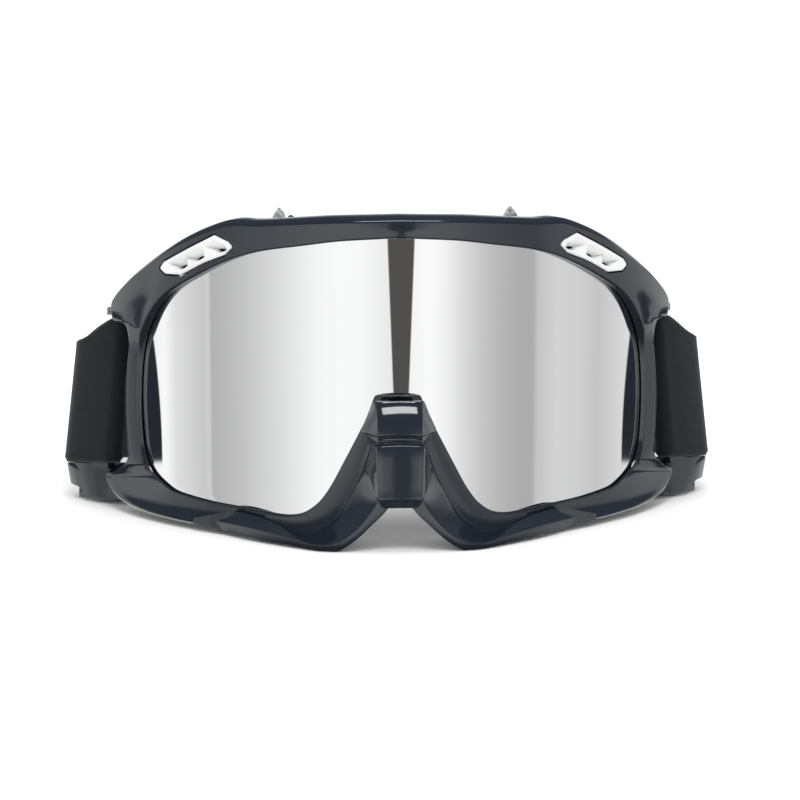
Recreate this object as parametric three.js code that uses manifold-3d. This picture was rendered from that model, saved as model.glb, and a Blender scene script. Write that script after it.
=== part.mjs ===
// Off-road motorcycle goggles: a curved mirror lens in a front bezel, a rear frame with
// face foam, a nose guard, corner vents, and an elastic head strap with two sliders.
// Millimetres, +X to the right as seen from the front, +Y towards the wearer, +Z up.
//
// The front is laid out on a vertical cylinder, the lens surface. A point there is written
// as [arc, height]: the arc length from the centre line, and the height above the table.
import * as THREE from 'three';
import { mergeVertices } from 'three/addons/utils/BufferGeometryUtils.js';
import Module from 'manifold-3d';

const wasm = await Module();
wasm.setup();

const GAP = 0.35;                  // clearance between pieces that touch

// Lens and front
const LENS_RADIUS = 95;            // outer surface of the lens, a vertical cylinder
const LENS_THICKNESS = 1.2;
const LENS_LAP = 2.8;              // how far the lens runs under the bezel
const BEZEL_FRONT = 3.4;           // bezel face, in front of the lens surface
const BEZEL_BACK = -4;             // back of the bezel, behind the lens surface
const BEZEL_BEVEL = 1.6;
const REBATE = 3.3;                // width of the step that holds the lens

// Rear frame and foam
const WALL = 2.2;
const FLANGE = 9;                  // width of the flange that carries the face foam
const SEAT_FRONT = -1.55;          // rib of the frame that backs the lens
const FRAME_FRONT = BEZEL_BACK - GAP;
const FOAM_DEPTH = 12;
const LINER_DEPTH = 1.6;
const LINER_START = FOAM_DEPTH + 2 * GAP;

// Strap
const STRAP_HEIGHT = 45;
const STRAP_THICKNESS = 1.7;
const STRAP_MID = 34.4;            // height of the strap's middle line at STRAP_REF_Y
const STRAP_REF_Y = 60;
const STRAP_DROOP = 0.18;          // fall per millimetre towards the back
const STRAP_LEVEL_Y = 112;         // behind here the strap runs level and straight
const STRAP_LEAN = 0.0012;         // the top edge leans in, a share of x per millimetre
const STRAP_FRONT_X = 97.6;        // middle of the outer layer where it leaves the bar
const STRAP_X = 80;                // and along the side of the head
const LAYER_PITCH = 2.4;           // from the outer layer to the doubled inner layer
const RETURN_X = STRAP_X - LAYER_PITCH;
const POST_FRONT = [83.5, 51.5];   // plan of the slanted strap bar, inner end
const POST_REAR = [94, 63];        // and outer end
const POST_THICKNESS = 2.6;
const POST_CUT = 7.5;              // how much lower the bar's top is at its outer end
const BEND_START_Y = 67;           // the strap bends in from here to STRAP_LEVEL_Y
const REAR_START_Y = 160;          // where the rear piece of the strap begins
const REAR_CENTRE_Y = 162;
const REAR_DEPTH = 56;             // half axis of the rear loop, front to back

// Slider
const SLIDER_Y = 146;              // its centre bar
const SLIDER_HALF = 10;            // half its length along the strap
const SLIDER_PLAY = 0.4;           // room between its rails and the webbing's edges
const BAR = 2;                     // thickness of its bars
const HEM_RADIUS = 2.8;            // middle of the webbing sewn round the centre bar
const BAR_X = RETURN_X - HEM_RADIUS;

const COLOURS = {
  shell: { color: 0x0c0f13, roughness: 0.12, metalness: 0 },
  frame: { color: 0x101215, roughness: 0.4, metalness: 0 },
  mirror: { color: 0xdfe3e6, roughness: 0.03, metalness: 1 },
  vent: { color: 0xf2f4f5, roughness: 0.35, metalness: 0 },
  foam: { color: 0x1b1c1f, roughness: 1, metalness: 0 },
  filter: { color: 0x8b8f94, roughness: 1, metalness: 0 },
  liner: { color: 0x2b2d31, roughness: 1, metalness: 0 },
  webbing: { color: 0x24282e, roughness: 0.95, metalness: 0 },
};

// One half of the rim, from the top centre down the side to the nose. Each station gives
// the edge of the lens opening, the outer edge of the bezel, the outer wall of the frame
// (all [arc, height]) and the rear edge of the frame against the face ([x, y, z]).
const RIM = [
  { open: [0, 89.9], edge: [0, 96.3], wall: [0, 95.2], face: [0, 38, 86] },
  { open: [16, 88.9], edge: [18.7, 95.8], wall: [18.7, 94.7], face: [16, 38.6, 86.2] },
  { open: [27, 87.3], edge: [31, 94.9], wall: [31, 93.8], face: [27, 40, 86] },
  { open: [38, 85.5], edge: [42, 94], wall: [41.7, 92.9], face: [38, 42.8, 85.4] },
  { open: [46, 83.3], edge: [49.6, 93.8], wall: [49, 92.4], face: [46.5, 46, 84] },
  { open: [54, 80], edge: [57.8, 91], wall: [57, 89.6], face: [54.5, 50.5, 81] },
  { open: [61, 76.5], edge: [66, 87.2], wall: [65, 86], face: [61.5, 55.6, 77.6] },
  { open: [67, 73.3], edge: [74, 82.7], wall: [72.6, 81.6], face: [67, 60.6, 73.4] },
  { open: [71.5, 70.6], edge: [82, 77.8], wall: [79.5, 76.4], face: [71, 65, 68.8] },
  { open: [75.3, 67.5], edge: [90, 72.6], wall: [84.5, 70.6], face: [73.6, 68.6, 63.8] },
  { open: [78.2, 64.5], edge: [99.7, 64.5], wall: [87.2, 65], face: [75.2, 71, 58.8] },
  { open: [80.8, 61], edge: [99.2, 59], wall: [88.4, 60], face: [76.2, 72.8, 53.8] },
  { open: [83, 57.2], edge: [92.2, 58.8], wall: [89, 55.6], face: [76.8, 73.8, 48.6] },
  { open: [85, 52], edge: [90.5, 53], wall: [89.6, 51], face: [77, 74.3, 43.4] },
  { open: [86.3, 46], edge: [91.6, 46], wall: [90.4, 46], face: [77, 74.5, 38.6] },
  { open: [87, 38], edge: [93, 38], wall: [91.4, 38], face: [76.9, 74.4, 33.8] },
  { open: [86.9, 30], edge: [93, 30], wall: [91.4, 30], face: [76.5, 74, 29] },
  { open: [86, 22.5], edge: [92.4, 22.5], wall: [91, 22.5], face: [75.4, 72.8, 24] },
  { open: [84.4, 18], edge: [92.6, 16.6], wall: [90.4, 16], face: [73.6, 71, 19.6] },
  { open: [82, 15], edge: [99, 12.3], wall: [89, 10.8], face: [71.2, 69, 16.2] },
  { open: [79.8, 13.4], edge: [106.9, 9.4], wall: [87, 7.6], face: [68.4, 66.8, 13.8] },
  { open: [76.8, 11.8], edge: [104, 6.2], wall: [84, 5.4], face: [65.2, 64.4, 12] },
  { open: [72.4, 10], edge: [97, 3.6], wall: [79, 4], face: [61, 61.6, 10.6] },
  { open: [66, 9.2], edge: [86, 2.3], wall: [72, 3.4], face: [55.6, 58.4, 9.6] },
  { open: [58, 8.5], edge: [74, 1.9], wall: [64, 3], face: [49.6, 55.2, 9] },
  { open: [49, 8.1], edge: [59, 1.6], wall: [54, 2.7], face: [43.4, 52, 9] },
  { open: [40, 7.4], edge: [44, 1.1], wall: [43, 2.3], face: [37.4, 48.8, 9.8] },
  { open: [33, 7], edge: [34, 1], wall: [33.6, 2.1], face: [31.6, 45, 11.6] },
  { open: [28, 8], edge: [27, 1.6], wall: [27.2, 2.7], face: [27, 41.4, 14.6] },
  { open: [23.4, 11.4], edge: [21.4, 4.2], wall: [21.8, 5.2], face: [23.4, 38, 18.6] },
  { open: [19.8, 16.4], edge: [16.8, 9], wall: [17.2, 10], face: [20.2, 34.8, 23.4] },
  { open: [16.3, 23], edge: [12.8, 16.2], wall: [13.3, 17.1], face: [17, 31.8, 28.4] },
  { open: [12.7, 30], edge: [9.4, 23.8], wall: [9.8, 24.7], face: [13.6, 29.2, 33.4] },
  { open: [9.8, 35.7], edge: [7, 29], wall: [7.3, 30], face: [10, 27.2, 38] },
  { open: [7.3, 40.2], edge: [4.4, 32.2], wall: [4.6, 33.2], face: [5.6, 25.8, 41.8] },
  { open: [0, 41.5], edge: [0, 33.2], wall: [0, 34.2], face: [0, 25, 43.4] },
];

// Corner vent: its upper and lower edges, as [arc, height]
const VENT_TOP = [[48.4, 86.4], [49.4, 87.4], [54, 89.1], [63, 84.6], [72.6, 79.6], [73.9, 78]];
const VENT_BOTTOM = [[48.4, 85.8], [50.6, 83.7], [58, 80.7], [66, 76.5], [72, 76.2], [73.9, 77.4]];
const VENT_FRONT = 4;
const VENT_BACK = 0.9;
const LOUVRES = [53.2, 59.8, 66.4];      // where each pocket begins along the arc

// ---------------------------------------------------------------- geometry helpers

const clamp = THREE.MathUtils.clamp;
const lerp = THREE.MathUtils.lerp;

// Lays a point of the flat front pattern on the lens cylinder, `out` in front of its face
function bend([arc, height], out) {
  const angle = arc / LENS_RADIUS;
  const r = LENS_RADIUS + out;
  return new THREE.Vector3(r * Math.sin(angle), LENS_RADIUS - r * Math.cos(angle), height);
}

// A point of the strap: plan x and y, and height above the strap's middle line
function strapPoint(x, y, above) {
  const middle = STRAP_MID - STRAP_DROOP * (Math.min(y, STRAP_LEVEL_Y) - STRAP_REF_Y);
  return new THREE.Vector3(x * (1 - STRAP_LEAN * above), y, middle + above);
}

function signedVolume(points, index) {
  let volume = 0;
  for (let i = 0; i < index.length; i += 3) {
    const [a, b, c] = [points[index[i]], points[index[i + 1]], points[index[i + 2]]];
    volume += a.dot(b.clone().cross(c)) / 6;
  }
  return volume;
}

// A geometry from shared points and triangles, turned so that its faces point out
function makeGeometry(points, index) {
  const turned = signedVolume(points, index) < 0 ? [...index].reverse() : index;
  const geometry = new THREE.BufferGeometry();
  const positions = points.flatMap((p) => p.toArray());
  geometry.setAttribute('position', new THREE.Float32BufferAttribute(positions, 3));
  geometry.setIndex(turned);
  return geometry;
}

// Skins a row of matching sections. A ring closes on itself, a strip gets a cap at each end
function loft(sections, ring) {
  const sides = sections[0].length;
  const points = sections.flat();
  const index = [];
  const steps = ring ? sections.length : sections.length - 1;
  for (let i = 0; i < steps; i += 1) {
    const here = i * sides;
    const next = ((i + 1) % sections.length) * sides;
    for (let j = 0; j < sides; j += 1) {
      const k = (j + 1) % sides;
      index.push(here + j, next + j, next + k, here + j, next + k, here + k);
    }
  }
  if (!ring) {
    const last = (sections.length - 1) * sides;
    for (let j = 1; j < sides - 1; j += 1) {
      index.push(0, j, j + 1, last, last + j + 1, last + j);
    }
  }
  return makeGeometry(points, index);
}

function mirrored(geometry) {
  const copy = geometry.clone();
  copy.scale(-1, 1, 1);
  copy.setIndex([...copy.getIndex().array].reverse());
  return copy;
}

// A box between two corners, with every corner moved by a mapping
function mappedBox(low, high, mapping) {
  const sizes = high.map((value, axis) => value - low[axis]);
  const box = new THREE.BoxGeometry(...sizes);
  box.translate(...low.map((value, axis) => value + sizes[axis] / 2));
  return mapped(box, mapping);
}

function mapped(geometry, mapping) {
  const bare = welded(geometry);
  const position = bare.getAttribute('position');
  for (let i = 0; i < position.count; i += 1) {
    const p = mapping(position.getX(i), position.getY(i), position.getZ(i));
    position.setXYZ(i, p.x, p.y, p.z);
  }
  return bare;
}

function welded(geometry) {
  const bare = geometry.clone();
  bare.deleteAttribute('normal');
  bare.deleteAttribute('uv');
  return mergeVertices(bare, 1e-4);
}

function toSolid(geometry) {
  return new wasm.Manifold(new wasm.Mesh({
    numProp: 3,
    vertProperties: new Float32Array(geometry.getAttribute('position').array),
    triVerts: new Uint32Array(geometry.getIndex().array),
  }));
}

function fromSolid(solid) {
  const mesh = solid.getMesh();
  const geometry = new THREE.BufferGeometry();
  geometry.setAttribute('position', new THREE.BufferAttribute(mesh.vertProperties, 3));
  geometry.setIndex(new THREE.BufferAttribute(mesh.triVerts, 1));
  return geometry;
}

function joined(base, ...others) {
  return fromSolid(others.reduce((solid, other) => solid.add(toSolid(other)), toSolid(base)));
}

function cut(base, ...tools) {
  return fromSolid(tools.reduce((solid, tool) => solid.subtract(toSolid(tool)), toSolid(base)));
}

const straight = (x, y, z) => new THREE.Vector3(x, y, z);

// A vertical prism from a plan outline
function prism(outline, bottom, top) {
  const shape = new THREE.Shape(outline.map(([x, y]) => new THREE.Vector2(x, y)));
  const geometry = new THREE.ExtrudeGeometry(shape, { depth: top - bottom, bevelEnabled: false });
  geometry.translate(0, 0, bottom);
  return welded(geometry);
}

// Height of an outline, given as [arc, height] points in order, at an arc
function heightAt(outline, arc) {
  let i = 1;
  while (i < outline.length - 1 && outline[i][0] < arc) {
    i += 1;
  }
  const [[a0, h0], [a1, h1]] = [outline[i - 1], outline[i]];
  return lerp(h0, h1, clamp((arc - a0) / (a1 - a0), 0, 1));
}

// A slab bent onto the lens cylinder, between a lower and an upper outline
function bentSlab(bottom, top, back, front, step) {
  const [start, end] = [Math.max(bottom[0][0], top[0][0]), Math.min(bottom.at(-1)[0], top.at(-1)[0])];
  const arcs = new Set([...bottom, ...top].map(([arc]) => arc).filter((arc) => arc >= start && arc <= end));
  const count = Math.ceil((end - start) / step);
  for (let i = 0; i <= count; i += 1) {
    const arc = lerp(start, end, i / count);
    if (![...arcs].some((other) => Math.abs(other - arc) < step / 3)) {
      arcs.add(arc);
    }
  }
  const sections = [...arcs].sort((a, b) => a - b).map((arc) => {
    const low = heightAt(bottom, arc);
    const high = heightAt(top, arc);
    return [
      bend([arc, low], back),
      bend([arc, low], front),
      bend([arc, high], front),
      bend([arc, high], back),
    ];
  });
  return loft(sections, false);
}

// ---------------------------------------------------------------- rim stations

// Smooths the stations and mirrors them into a full ring
function rimStations(perSpan) {
  const curves = {};
  for (const key of ['open', 'edge', 'wall', 'face']) {
    const points = RIM.map((station) => new THREE.Vector3(...station[key], ...(key === 'face' ? [] : [0])));
    curves[key] = (t) => splinePoint(points, t);
  }
  const count = (RIM.length - 1) * perSpan;
  const half = [];
  for (let i = 0; i <= count; i += 1) {
    const t = i / perSpan;
    half.push(Object.fromEntries(Object.entries(curves).map(([key, curve]) => [key, curve(t)])));
  }
  const other = half.slice(1, -1).reverse().map((station) => (
    Object.fromEntries(Object.entries(station).map(([key, p]) => [key, new THREE.Vector3(-p.x, p.y, p.z)]))
  ));
  return [...half, ...other];
}

// Point on a gentle spline through the points, at position t along their order
function splinePoint(points, t) {
  const i = Math.min(Math.floor(t), points.length - 2);
  const f = t - i;
  const a = points[Math.max(i - 1, 0)];
  const [b, c] = [points[i], points[i + 1]];
  const d = points[Math.min(i + 2, points.length - 1)];
  const sharp = 0.35;
  const inTangent = c.clone().sub(a).multiplyScalar(sharp);
  const outTangent = d.clone().sub(b).multiplyScalar(sharp);
  const [f2, f3] = [f * f, f * f * f];
  return b.clone().multiplyScalar(2 * f3 - 3 * f2 + 1)
    .addScaledVector(inTangent, f3 - 2 * f2 + f)
    .addScaledVector(c, 3 * f2 - 2 * f3)
    .addScaledVector(outTangent, f3 - f2);
}

const FINE_RIM = rimStations(2);       // for the bezel and the lens, which lie on the cylinder
const COARSE_RIM = rimStations(1);     // for the frame and the padding behind them

// A point on the way from the opening's edge to an outer edge, `away` from the opening
function beside(station, key, away) {
  const [from, to] = [station.open, station[key]];
  const width = Math.hypot(to.x - from.x, to.y - from.y);
  const share = away / width;
  return [lerp(from.x, to.x, share), lerp(from.y, to.y, share)];
}

function widthTo(station, key) {
  return Math.hypot(station[key].x - station.open.x, station[key].y - station.open.y);
}

// Direction from the frame's rear edge towards the inside of the ring, in the x-z plane
function inwardAt(index) {
  const count = COARSE_RIM.length;
  const before = COARSE_RIM[(index + count - 1) % count].face;
  const after = COARSE_RIM[(index + 1) % count].face;
  const along = new THREE.Vector2(after.x - before.x, after.z - before.z).normalize();
  return new THREE.Vector3(along.y, 0, -along.x);
}

// ---------------------------------------------------------------- front

function ventCutter(grow, back, front) {
  const up = VENT_TOP.map(([arc, height]) => [arc, height + grow]);
  const down = VENT_BOTTOM.map(([arc, height]) => [arc, height - grow]);
  up[0][0] -= grow;
  down[0][0] -= grow;
  up.at(-1)[0] += grow;
  down.at(-1)[0] += grow;
  return bentSlab(down, up, back, front, 4);
}

function bezelRing() {
  const sections = FINE_RIM.map((station) => {
    const width = widthTo(station, 'edge');
    const bevel = Math.min(BEZEL_BEVEL, width / 4);
    const rebate = Math.min(REBATE, width * 0.58);
    return [
      bend(beside(station, 'edge', 0), GAP),
      bend(beside(station, 'edge', 0), 1.5),
      bend(beside(station, 'edge', bevel), BEZEL_FRONT - 0.4),
      bend(beside(station, 'edge', width / 2), BEZEL_FRONT),
      bend(beside(station, 'edge', width - bevel), BEZEL_FRONT),
      bend(beside(station, 'edge', width), BEZEL_FRONT - BEZEL_BEVEL),
      bend(beside(station, 'edge', width), BEZEL_BACK),
      bend(beside(station, 'edge', (width + rebate) / 2), BEZEL_BACK),
      bend(beside(station, 'edge', rebate), BEZEL_BACK),
      bend(beside(station, 'edge', rebate), GAP),
    ];
  });
  return loft(sections, true);
}

// The arms and the slanted bar that carry the strap, behind the bezel's corners
function outrigger() {
  const dx = POST_REAR[0] - POST_FRONT[0];
  const dy = POST_REAR[1] - POST_FRONT[1];
  const length = Math.hypot(dx, dy);
  const side = [dy / length * POST_THICKNESS / 2, -dx / length * POST_THICKNESS / 2];
  const plan = [
    [POST_FRONT[0] + side[0], POST_FRONT[1] + side[1]],
    [POST_REAR[0] + side[0], POST_REAR[1] + side[1]],
    [POST_REAR[0] - side[0], POST_REAR[1] - side[1]],
    [POST_FRONT[0] - side[0], POST_FRONT[1] - side[1]],
  ];
  const reach = STRAP_HEIGHT / 2 + 2;
  // The bar's top falls away outwards, where the webbing's corner curls over it
  const post = mapped(prism(plan, -reach, reach), (x, y, above) => (
    strapPoint(x, y, above > 0 && x > 88 ? above - POST_CUT : above)
  ));
  // The arms slope like the strap's edges, just above and below it
  const fall = (y) => STRAP_DROOP * (y - STRAP_REF_Y);
  const upper = mapped(prism([
    [76.5, 44.5], [82.4, 46.2], [85.6, 50], [86.4, 53], [85, 55.4], [80, 54.6], [76, 50],
  ], 0, 1), (x, y, z) => straight(x, y, z > 0.5 ? 63 - 0.26 * (y - 46.6) : 57.9 - fall(y)));
  const lower = mapped(prism([
    [79.5, 52], [87, 52.8], [97.4, 60.4], [100.4, 65], [98.4, 68.4], [91, 68.4], [83, 59.4],
  ], 0, 1), (x, y, z) => straight(x, y, z > 0.5 ? 11.1 - fall(y) : clamp(1.8 + 0.5 * (x - 93), 1.8, 4.2)));
  const foot = prism([[82.5, 56.5], [88.5, 56.5], [96.5, 64], [94, 66.6], [89, 66.6]], 0, 3);
  return joined(post, upper, lower, foot);
}

function bezel() {
  const arm = outrigger();
  const window = ventCutter(0.9, -8, 8);
  const whole = joined(bezelRing(), arm, mirrored(arm));
  return cut(whole, window, mirrored(window));
}

// The lens outline: the opening grown by the lap, as a lower and an upper edge
function lens() {
  const top = [];
  const bottom = [];
  const half = FINE_RIM.slice(0, FINE_RIM.length / 2 + 1);
  const lap = (station) => Math.min(LENS_LAP, widthTo(station, 'edge') * 0.5);
  const grown = half.map((station) => beside(station, 'edge', lap(station)));
  const widest = grown.reduce((best, p, i) => (p[0] > grown[best][0] ? i : best), 0);
  grown.slice(0, widest + 1).forEach((p) => appendRising(top, p));
  grown.slice(widest).reverse().forEach((p) => appendRising(bottom, p));
  const end = grown[widest][0];
  const both = (edge) => [...edge.slice(1).reverse().map(([arc, h]) => [-arc, h]), ...edge];
  top.at(-1)[0] = end;
  bottom.at(-1)[0] = end;
  top.at(-1)[1] += 1.5;
  bottom.at(-1)[1] -= 1.5;
  return bentSlab(both(bottom), both(top), -LENS_THICKNESS, 0, 4);
}

function appendRising(outline, point) {
  if (!outline.length || point[0] > outline.at(-1)[0] + 0.3) {
    outline.push([...point]);
  }
}

function ventInsert() {
  const plate = ventCutter(0, VENT_BACK, VENT_FRONT);
  const pockets = LOUVRES.map((start) => louvrePocket(start));
  return cut(plate, ...pockets);
}

// A slanted pocket right through the plate, between two louvre bars
function louvrePocket(start) {
  const rim = 1.5;
  const lean = 2.2;
  const wide = 4.6;
  const low = (arc) => heightAt(VENT_BOTTOM, arc) + rim;
  const high = (arc) => heightAt(VENT_TOP, arc) - rim;
  const corner = (arc, height) => [bend([arc, height], VENT_BACK - 1), bend([arc, height], VENT_FRONT + 1)];
  const [a, b] = corner(start, low(start));
  const [c, d] = corner(start + wide, low(start + wide));
  const [e, f] = corner(start + wide + lean, high(start + wide + lean));
  const [g, h] = corner(start + lean, high(start + lean));
  return loft([[a, c, e, g], [b, d, f, h]], false);
}

// Dark foam behind the insert, kept above the edge of the lens
function ventFilter() {
  const raised = (arc, height) => Math.min(height + 1.9, heightAt(VENT_TOP, arc) - 0.3);
  const bottom = VENT_BOTTOM.map(([arc, height]) => [arc, raised(arc, height)]);
  return bentSlab(bottom, VENT_TOP, BEZEL_BACK + GAP, VENT_BACK - GAP, 4);
}

// ---------------------------------------------------------------- nose guard

// Rows of the centre block, top to bottom: half width, height, y of the front, y of its back
const NOSE_ROWS = [
  { half: 5.9, side: 7.2, top: 42.6, front: -7.4 },
  { half: 6.5, side: 7.6, top: 41.2, front: -8.6 },
  { half: 6.5, side: 7.2, top: 33.9, front: -11.5 },
  { half: 6.3, side: 6.9, top: 33.2, front: -10.5 },
  { half: 6.4, side: 7, top: 31.4, front: -10.8 },
  { half: 6.9, side: 7.4, top: 30.7, front: -12 },
  { half: 6.6, side: 10, top: 22.4, front: -12.8 },
  { half: 6.35, side: 10.5, top: 14.9, front: -13.3 },
  { half: 5, side: 8, top: 12.8, front: -12.8 },
];

// Stations down the guard's arm and out along the wing: the parting line on the bezel
// ([arc, height]), the fold and the lower edge (both [x, y, z])
const NOSE_ARM = [
  { parting: [9.6, 22.4], fold: [6.4, -12.4, 22.4], edge: [1.5, -12.2, 20.5] },
  { parting: [13.1, 15.1], fold: [6.4, -12.9, 15.6], edge: [3.2, -12.4, 13.2] },
  { parting: [16.4, 9], fold: [10.6, -13.2, 9], edge: [8.4, -12.6, 7.6] },
  { parting: [19.9, 4.8], fold: [15, -13.2, 4.8], edge: [13.2, -12.6, 3.2] },
  { parting: [23.6, 3], fold: [19.4, -12.9, 2.4], edge: [18.4, -12.2, 0] },
  { parting: [28, 2.8], fold: [24.4, -11.4, 1.9], edge: [24, -10.8, 0] },
  { parting: [34, 4.8], fold: [31.4, -7.2, 3], edge: [31, -6.4, 0.4] },
  { parting: [42, 7], fold: [40.6, -0.4, 4], edge: [40.4, 0.4, 0.8] },
  { parting: [49.5, 7.4], fold: [48.6, 7, 4], edge: [48.4, 7.6, 1.1] },
  { parting: [61.8, 4], fold: [59.8, 18.6, 3.2], edge: [59.6, 19, 1.7] },
];

function noseArm() {
  const seat = BEZEL_FRONT + GAP;
  const sections = NOSE_ARM.map(({ parting, fold, edge }) => {
    const under = [edge[0] / Math.cos(edge[0] / LENS_RADIUS / 2), Math.max(edge[2], 0.2) + 0.4];
    return [
      bend(parting, seat),
      new THREE.Vector3(...fold),
      new THREE.Vector3(...edge),
      bend(under, seat),
    ];
  });
  return loft(sections, false);
}

function noseGuard() {
  const back = -BEZEL_FRONT - GAP;
  const block = loft(NOSE_ROWS.map(({ half, side, top, front }) => [
    new THREE.Vector3(-side, back, top),
    new THREE.Vector3(-half, front, top),
    new THREE.Vector3(0, front - 0.5, top + 0.3),
    new THREE.Vector3(half, front, top),
    new THREE.Vector3(side, back, top),
  ]), false);
  const arm = noseArm();
  return joined(block, arm, mirrored(arm));
}

// ---------------------------------------------------------------- rear frame

function frameRing() {
  const sections = COARSE_RIM.map((station, index) => {
    const inward = inwardAt(index);
    const width = widthTo(station, 'wall');
    const rib = Math.min(LENS_LAP - 0.2, width * 0.6);
    const lip = Math.min(0.6, width * 0.15);
    const face = station.face;
    const forward = new THREE.Vector3(0, -WALL, 0);
    return [
      bend(beside(station, 'wall', width), FRAME_FRONT),
      bend(beside(station, 'edge', rib), FRAME_FRONT),
      bend(beside(station, 'edge', rib), SEAT_FRONT),
      bend(beside(station, 'edge', lip), SEAT_FRONT),
      bend(beside(station, 'edge', lip), FRAME_FRONT - WALL),
      bend(beside(station, 'wall', Math.max(width - WALL, lip + 0.4)), FRAME_FRONT - WALL),
      face.clone().addScaledVector(inward, WALL).add(forward),
      face.clone().addScaledVector(inward, FLANGE).add(forward),
      face.clone().addScaledVector(inward, FLANGE),
      face.clone(),
    ];
  });
  return loft(sections, true);
}

// Air windows in the roof, either side of the struts, and in the floor
const ROOF_WINDOWS = [[4, 27.3], [31.9, 45]];
const FLOOR_WINDOWS = [[41, 52]];

// The first y behind the frame's front flange, at an x
function behindFront(x) {
  return LENS_RADIUS - Math.sqrt((LENS_RADIUS + FRAME_FRONT - WALL) ** 2 - x * x);
}

function roofStrut() {
  return mappedBox([27.7, 12, 0], [31.5, 24, 1], (x, y, z) => {
    const roof = 95.6 - 0.27 * y;
    const peak = x > 29 ? 94.8 : 93;
    return straight(x, y, z > 0.5 ? Math.max(peak - 0.25 * (y - 12), roof + 0.2) : roof - 2);
  });
}

function mainFrame() {
  const strut = roofStrut();
  const windows = ROOF_WINDOWS.flatMap(([from, to]) => {
    const plan = [[from, behindFront(from) + 2], [to, behindFront(to) + 2], [to, 33], [from, 31]];
    const box = prism(plan, 78, 100);
    return [box, mirrored(box)];
  });
  const floors = FLOOR_WINDOWS.flatMap(([from, to]) => {
    const plan = [[from, behindFront(from) + 3], [to, behindFront(to) + 3], [to, 42], [from, 38]];
    const box = prism(plan, -2, 12);
    return [box, mirrored(box)];
  });
  const vent = ventCutter(-0.8, -9, -2);
  return cut(joined(frameRing(), strut, mirrored(strut)), ...windows, ...floors, vent, mirrored(vent));
}

// A ring of padding on the rear flange, between two depths behind it and two distances
// in from the frame's rear edge. Facing rings take these in turn, so that their facets match.
function padRing(from, to, first, second) {
  const sections = COARSE_RIM.map((station, index) => {
    const inward = inwardAt(index);
    const at = (across, depth) => station.face.clone().addScaledVector(inward, across)
      .add(new THREE.Vector3(0, depth, 0));
    return [at(first, from), at(second, from), at(second, to), at(first, to)];
  });
  return loft(sections, true);
}

// Filter foam under the roof windows, with a tongue folded up through the outer one
function roofFilter() {
  const under = (x, y) => 95.2 - 0.27 * y - 0.0016 * x * x - WALL - 1.2;
  const columns = [2.5, 12, 22, 32, 40, 46.5];
  const sheet = loft(columns.map((x) => {
    const [front, rear] = [behindFront(x) + 1, 32.5];
    return [
      new THREE.Vector3(x, front, under(x, front) - 3),
      new THREE.Vector3(x, rear, under(x, rear) - 3),
      new THREE.Vector3(x, rear, under(x, rear)),
      new THREE.Vector3(x, front, under(x, front)),
    ];
  }), false);
  const tongue = loft([[18.4, 0], [27, -2.2]].map(([y, fall]) => [
    new THREE.Vector3(32.3, y, 84.6 + fall),
    new THREE.Vector3(37, y, 84.6 + fall),
    new THREE.Vector3(36.6, y, 92.4 + fall),
    new THREE.Vector3(33.9, y, 96.3 + fall),
    new THREE.Vector3(32.3, y, 94.6 + fall),
  ]), false);
  return joined(sheet, tongue);
}

function floorFilter() {
  const above = (y) => 3.4 + 0.14 * (y - 12) + WALL + 1.4;
  const columns = [40, 46, 53];
  return loft(columns.map((x) => {
    const [front, rear] = [behindFront(x) + 1, 43];
    return [
      new THREE.Vector3(x, front, above(front)),
      new THREE.Vector3(x, rear, above(rear)),
      new THREE.Vector3(x, rear, above(rear) + 3),
      new THREE.Vector3(x, front, above(front) + 3),
    ];
  }), false);
}

// ---------------------------------------------------------------- strap

// A band standing on edge along a plan path, over the strap's full height
function ribbon(path, height = STRAP_HEIGHT, thickness = STRAP_THICKNESS) {
  const sections = path.map(([x, y], i) => {
    const before = path[Math.max(i - 1, 0)];
    const after = path[Math.min(i + 1, path.length - 1)];
    const along = new THREE.Vector2(after[0] - before[0], after[1] - before[1]).normalize();
    const [ox, oy] = [along.y * thickness / 2, -along.x * thickness / 2];
    return [
      strapPoint(x - ox, y - oy, -height / 2),
      strapPoint(x + ox, y + oy, -height / 2),
      strapPoint(x + ox, y + oy, height / 2),
      strapPoint(x - ox, y - oy, height / 2),
    ];
  });
  return loft(sections, false);
}

function arc(centre, radius, from, to, steps) {
  return Array.from({ length: steps + 1 }, (_, i) => {
    const angle = lerp(from, to, i / steps);
    return [centre[0] + radius * Math.cos(angle), centre[1] + radius * Math.sin(angle)];
  });
}

// Plan x of the outer layer where it bends in from the bar to the side of the head
function bendX(y) {
  const f = clamp((y - BEND_START_Y) / (STRAP_LEVEL_Y - BEND_START_Y), 0, 1);
  return lerp(STRAP_FRONT_X, STRAP_X, f * f * (3 - 2 * f));
}

// The strap round the slanted bar: outer layer, turn, and the inner layer beside it
function strapWrap() {
  const out = POST_THICKNESS / 2 + GAP + STRAP_THICKNESS / 2;
  const heading = Math.atan2(POST_REAR[1] - POST_FRONT[1], POST_REAR[0] - POST_FRONT[0]);
  const normal = heading - Math.PI / 2;
  const turn = arc(POST_FRONT, out, normal, normal - Math.PI, 8);
  const offset = ([x, y], angle) => [x + out * Math.cos(angle), y + out * Math.sin(angle)];
  const levels = Array.from({ length: 10 }, (_, i) => lerp(72, STRAP_LEVEL_Y, i / 9));
  const outer = levels.map((y) => [bendX(y), y]).reverse();
  const inner = levels.map((y) => [bendX(y) - LAYER_PITCH, y]);
  return ribbon([
    ...outer,
    [STRAP_FRONT_X, 68],
    [STRAP_FRONT_X - 0.4, 64.8],
    offset(POST_REAR, normal),
    ...turn,
    [POST_REAR[0] - 2.1, POST_REAR[1] + 1.5],
    [POST_REAR[0] - 0.6, 67.2],
    [POST_REAR[0] + 0.4, 69.4],
    ...inner,
  ]);
}

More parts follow.
